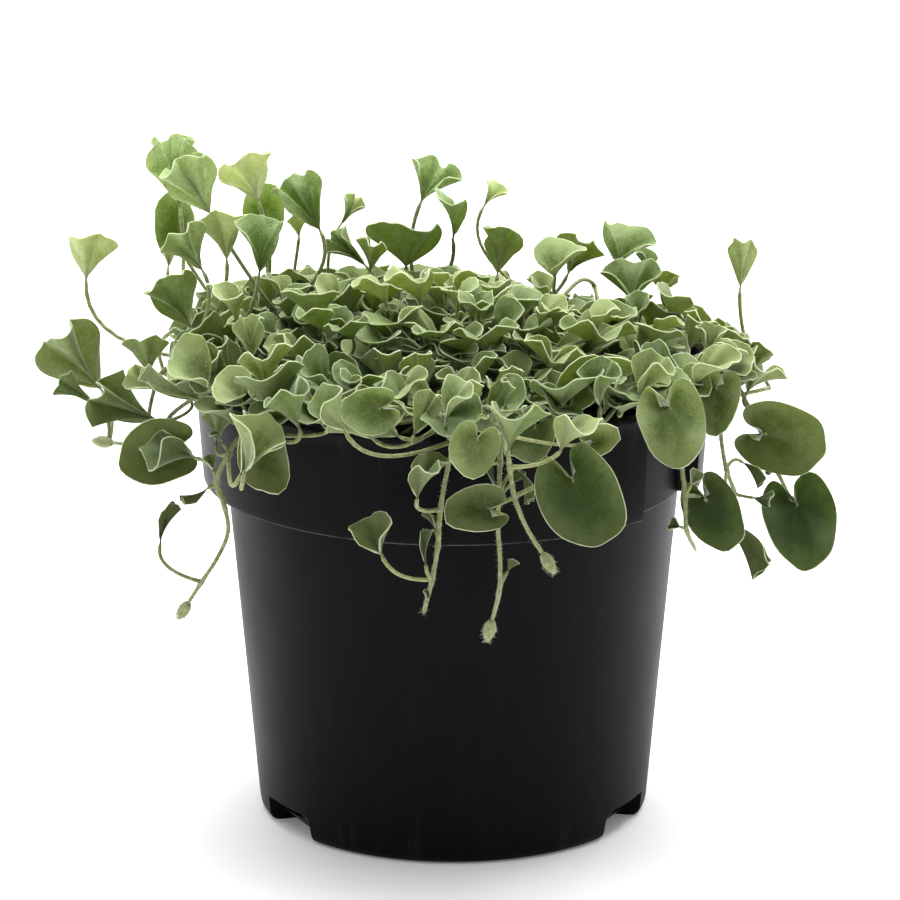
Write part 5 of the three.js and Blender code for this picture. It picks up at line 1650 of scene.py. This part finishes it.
def hang_lights(scene, settings):
    """A white room whose light comes mostly from the back, the right and above, and soft lamps."""
    world = bpy.data.worlds.new("white_room")
    world.use_nodes = True
    nodes, links = world.node_tree.nodes, world.node_tree.links
    facing = nodes.new("ShaderNodeVectorMath")
    facing.operation = "DOT_PRODUCT"
    facing.inputs[1].default_value = ROOM_SIDE
    links.new(nodes.new("ShaderNodeTexCoord").outputs["Generated"], facing.inputs[0])
    level = nodes.new("ShaderNodeMath")
    level.operation, level.use_clamp = "ADD", True
    level.inputs[1].default_value = ROOM_LEVEL
    links.new(facing.outputs["Value"], level.inputs[0])
    shown = nodes.new("ShaderNodeMath")
    shown.operation = "MAXIMUM"
    links.new(level.outputs[0], shown.inputs[0])
    links.new(nodes.new("ShaderNodeLightPath").outputs["Is Camera Ray"], shown.inputs[1])
    links.new(shown.outputs[0], nodes["Background"].inputs["Color"])
    nodes["Background"].inputs["Strength"].default_value = settings.light
    scene.world = world
    for name, spot, power, width in LIGHTS:
        lamp = bpy.data.lights.new(name, "AREA")
        lamp.energy = power * settings.light
        lamp.size = width
        light = scene_object(name, lamp)
        light.location = spot
        east, north, up = np.subtract(LIT_PLACE, spot)
        light.rotation_euler = (math.atan2(math.hypot(east, north), -up), 0, math.atan2(-east, north))


def set_camera(scene, settings):
    """The photograph's camera: its picture's middle lies a little beside the pot's axis."""
    lens = bpy.data.cameras.new("camera")
    lens.sensor_width = SENSOR_WIDTH
    lens.lens = CAMERA["focal"] * SENSOR_WIDTH / PICTURE_WIDTH
    lens.shift_x = -(CAMERA["axis"] - CAMERA["middle"]) / PICTURE_WIDTH
    lens.clip_start, lens.clip_end = 0.05, 60.0
    camera = scene_object("camera", lens)
    camera.location = (0.0, -settings.distance, settings.height)
    camera.rotation_euler = (math.pi / 2 - settings.pitch, 0, 0)
    scene.camera = camera
    scene.view_settings.view_transform = "Standard"


class DICHONDRA_PT_panel(bpy.types.Panel):
    """Lists the pieces of the potted plant."""

    bl_idname = "DICHONDRA_PT_panel"
    bl_label = "Silver falls dichondra"
    bl_space_type = "VIEW_3D"
    bl_region_type = "UI"
    bl_category = "Dichondra"

    def draw(self, context):
        layout, scene = self.layout, context.scene
        for operator, group in zip(OPERATORS, GROUPS):
            box = layout.box()
            box.operator(operator.bl_idname)
            settings = getattr(scene, group)
            for name in settings.__annotations__:
                box.prop(settings, name)


GROUPS = {
    "dichondra_pot": PotSettings, "dichondra_soil": SoilSettings,
    "dichondra_foliage": FoliageSettings, "dichondra_stage": StageSettings,
}
OPERATORS = (DICHONDRA_OT_pot, DICHONDRA_OT_soil, DICHONDRA_OT_stems, DICHONDRA_OT_stage)
CLASSES = (*GROUPS.values(), *OPERATORS, DICHONDRA_PT_panel)


def register():
    for made in CLASSES:
        bpy.utils.register_class(made)
    for name, group in GROUPS.items():
        setattr(bpy.types.Scene, name, PointerProperty(type=group))


def unregister():
    for name in GROUPS:
        delattr(bpy.types.Scene, name)
    for made in reversed(CLASSES):
        bpy.utils.unregister_class(made)


def main():
    """Builds the part in order."""
    register()
    bpy.ops.dichondra.pot()
    bpy.ops.dichondra.soil()
    bpy.ops.dichondra.stems()
    bpy.ops.dichondra.stage()


if __name__ == "__main__":
    main()
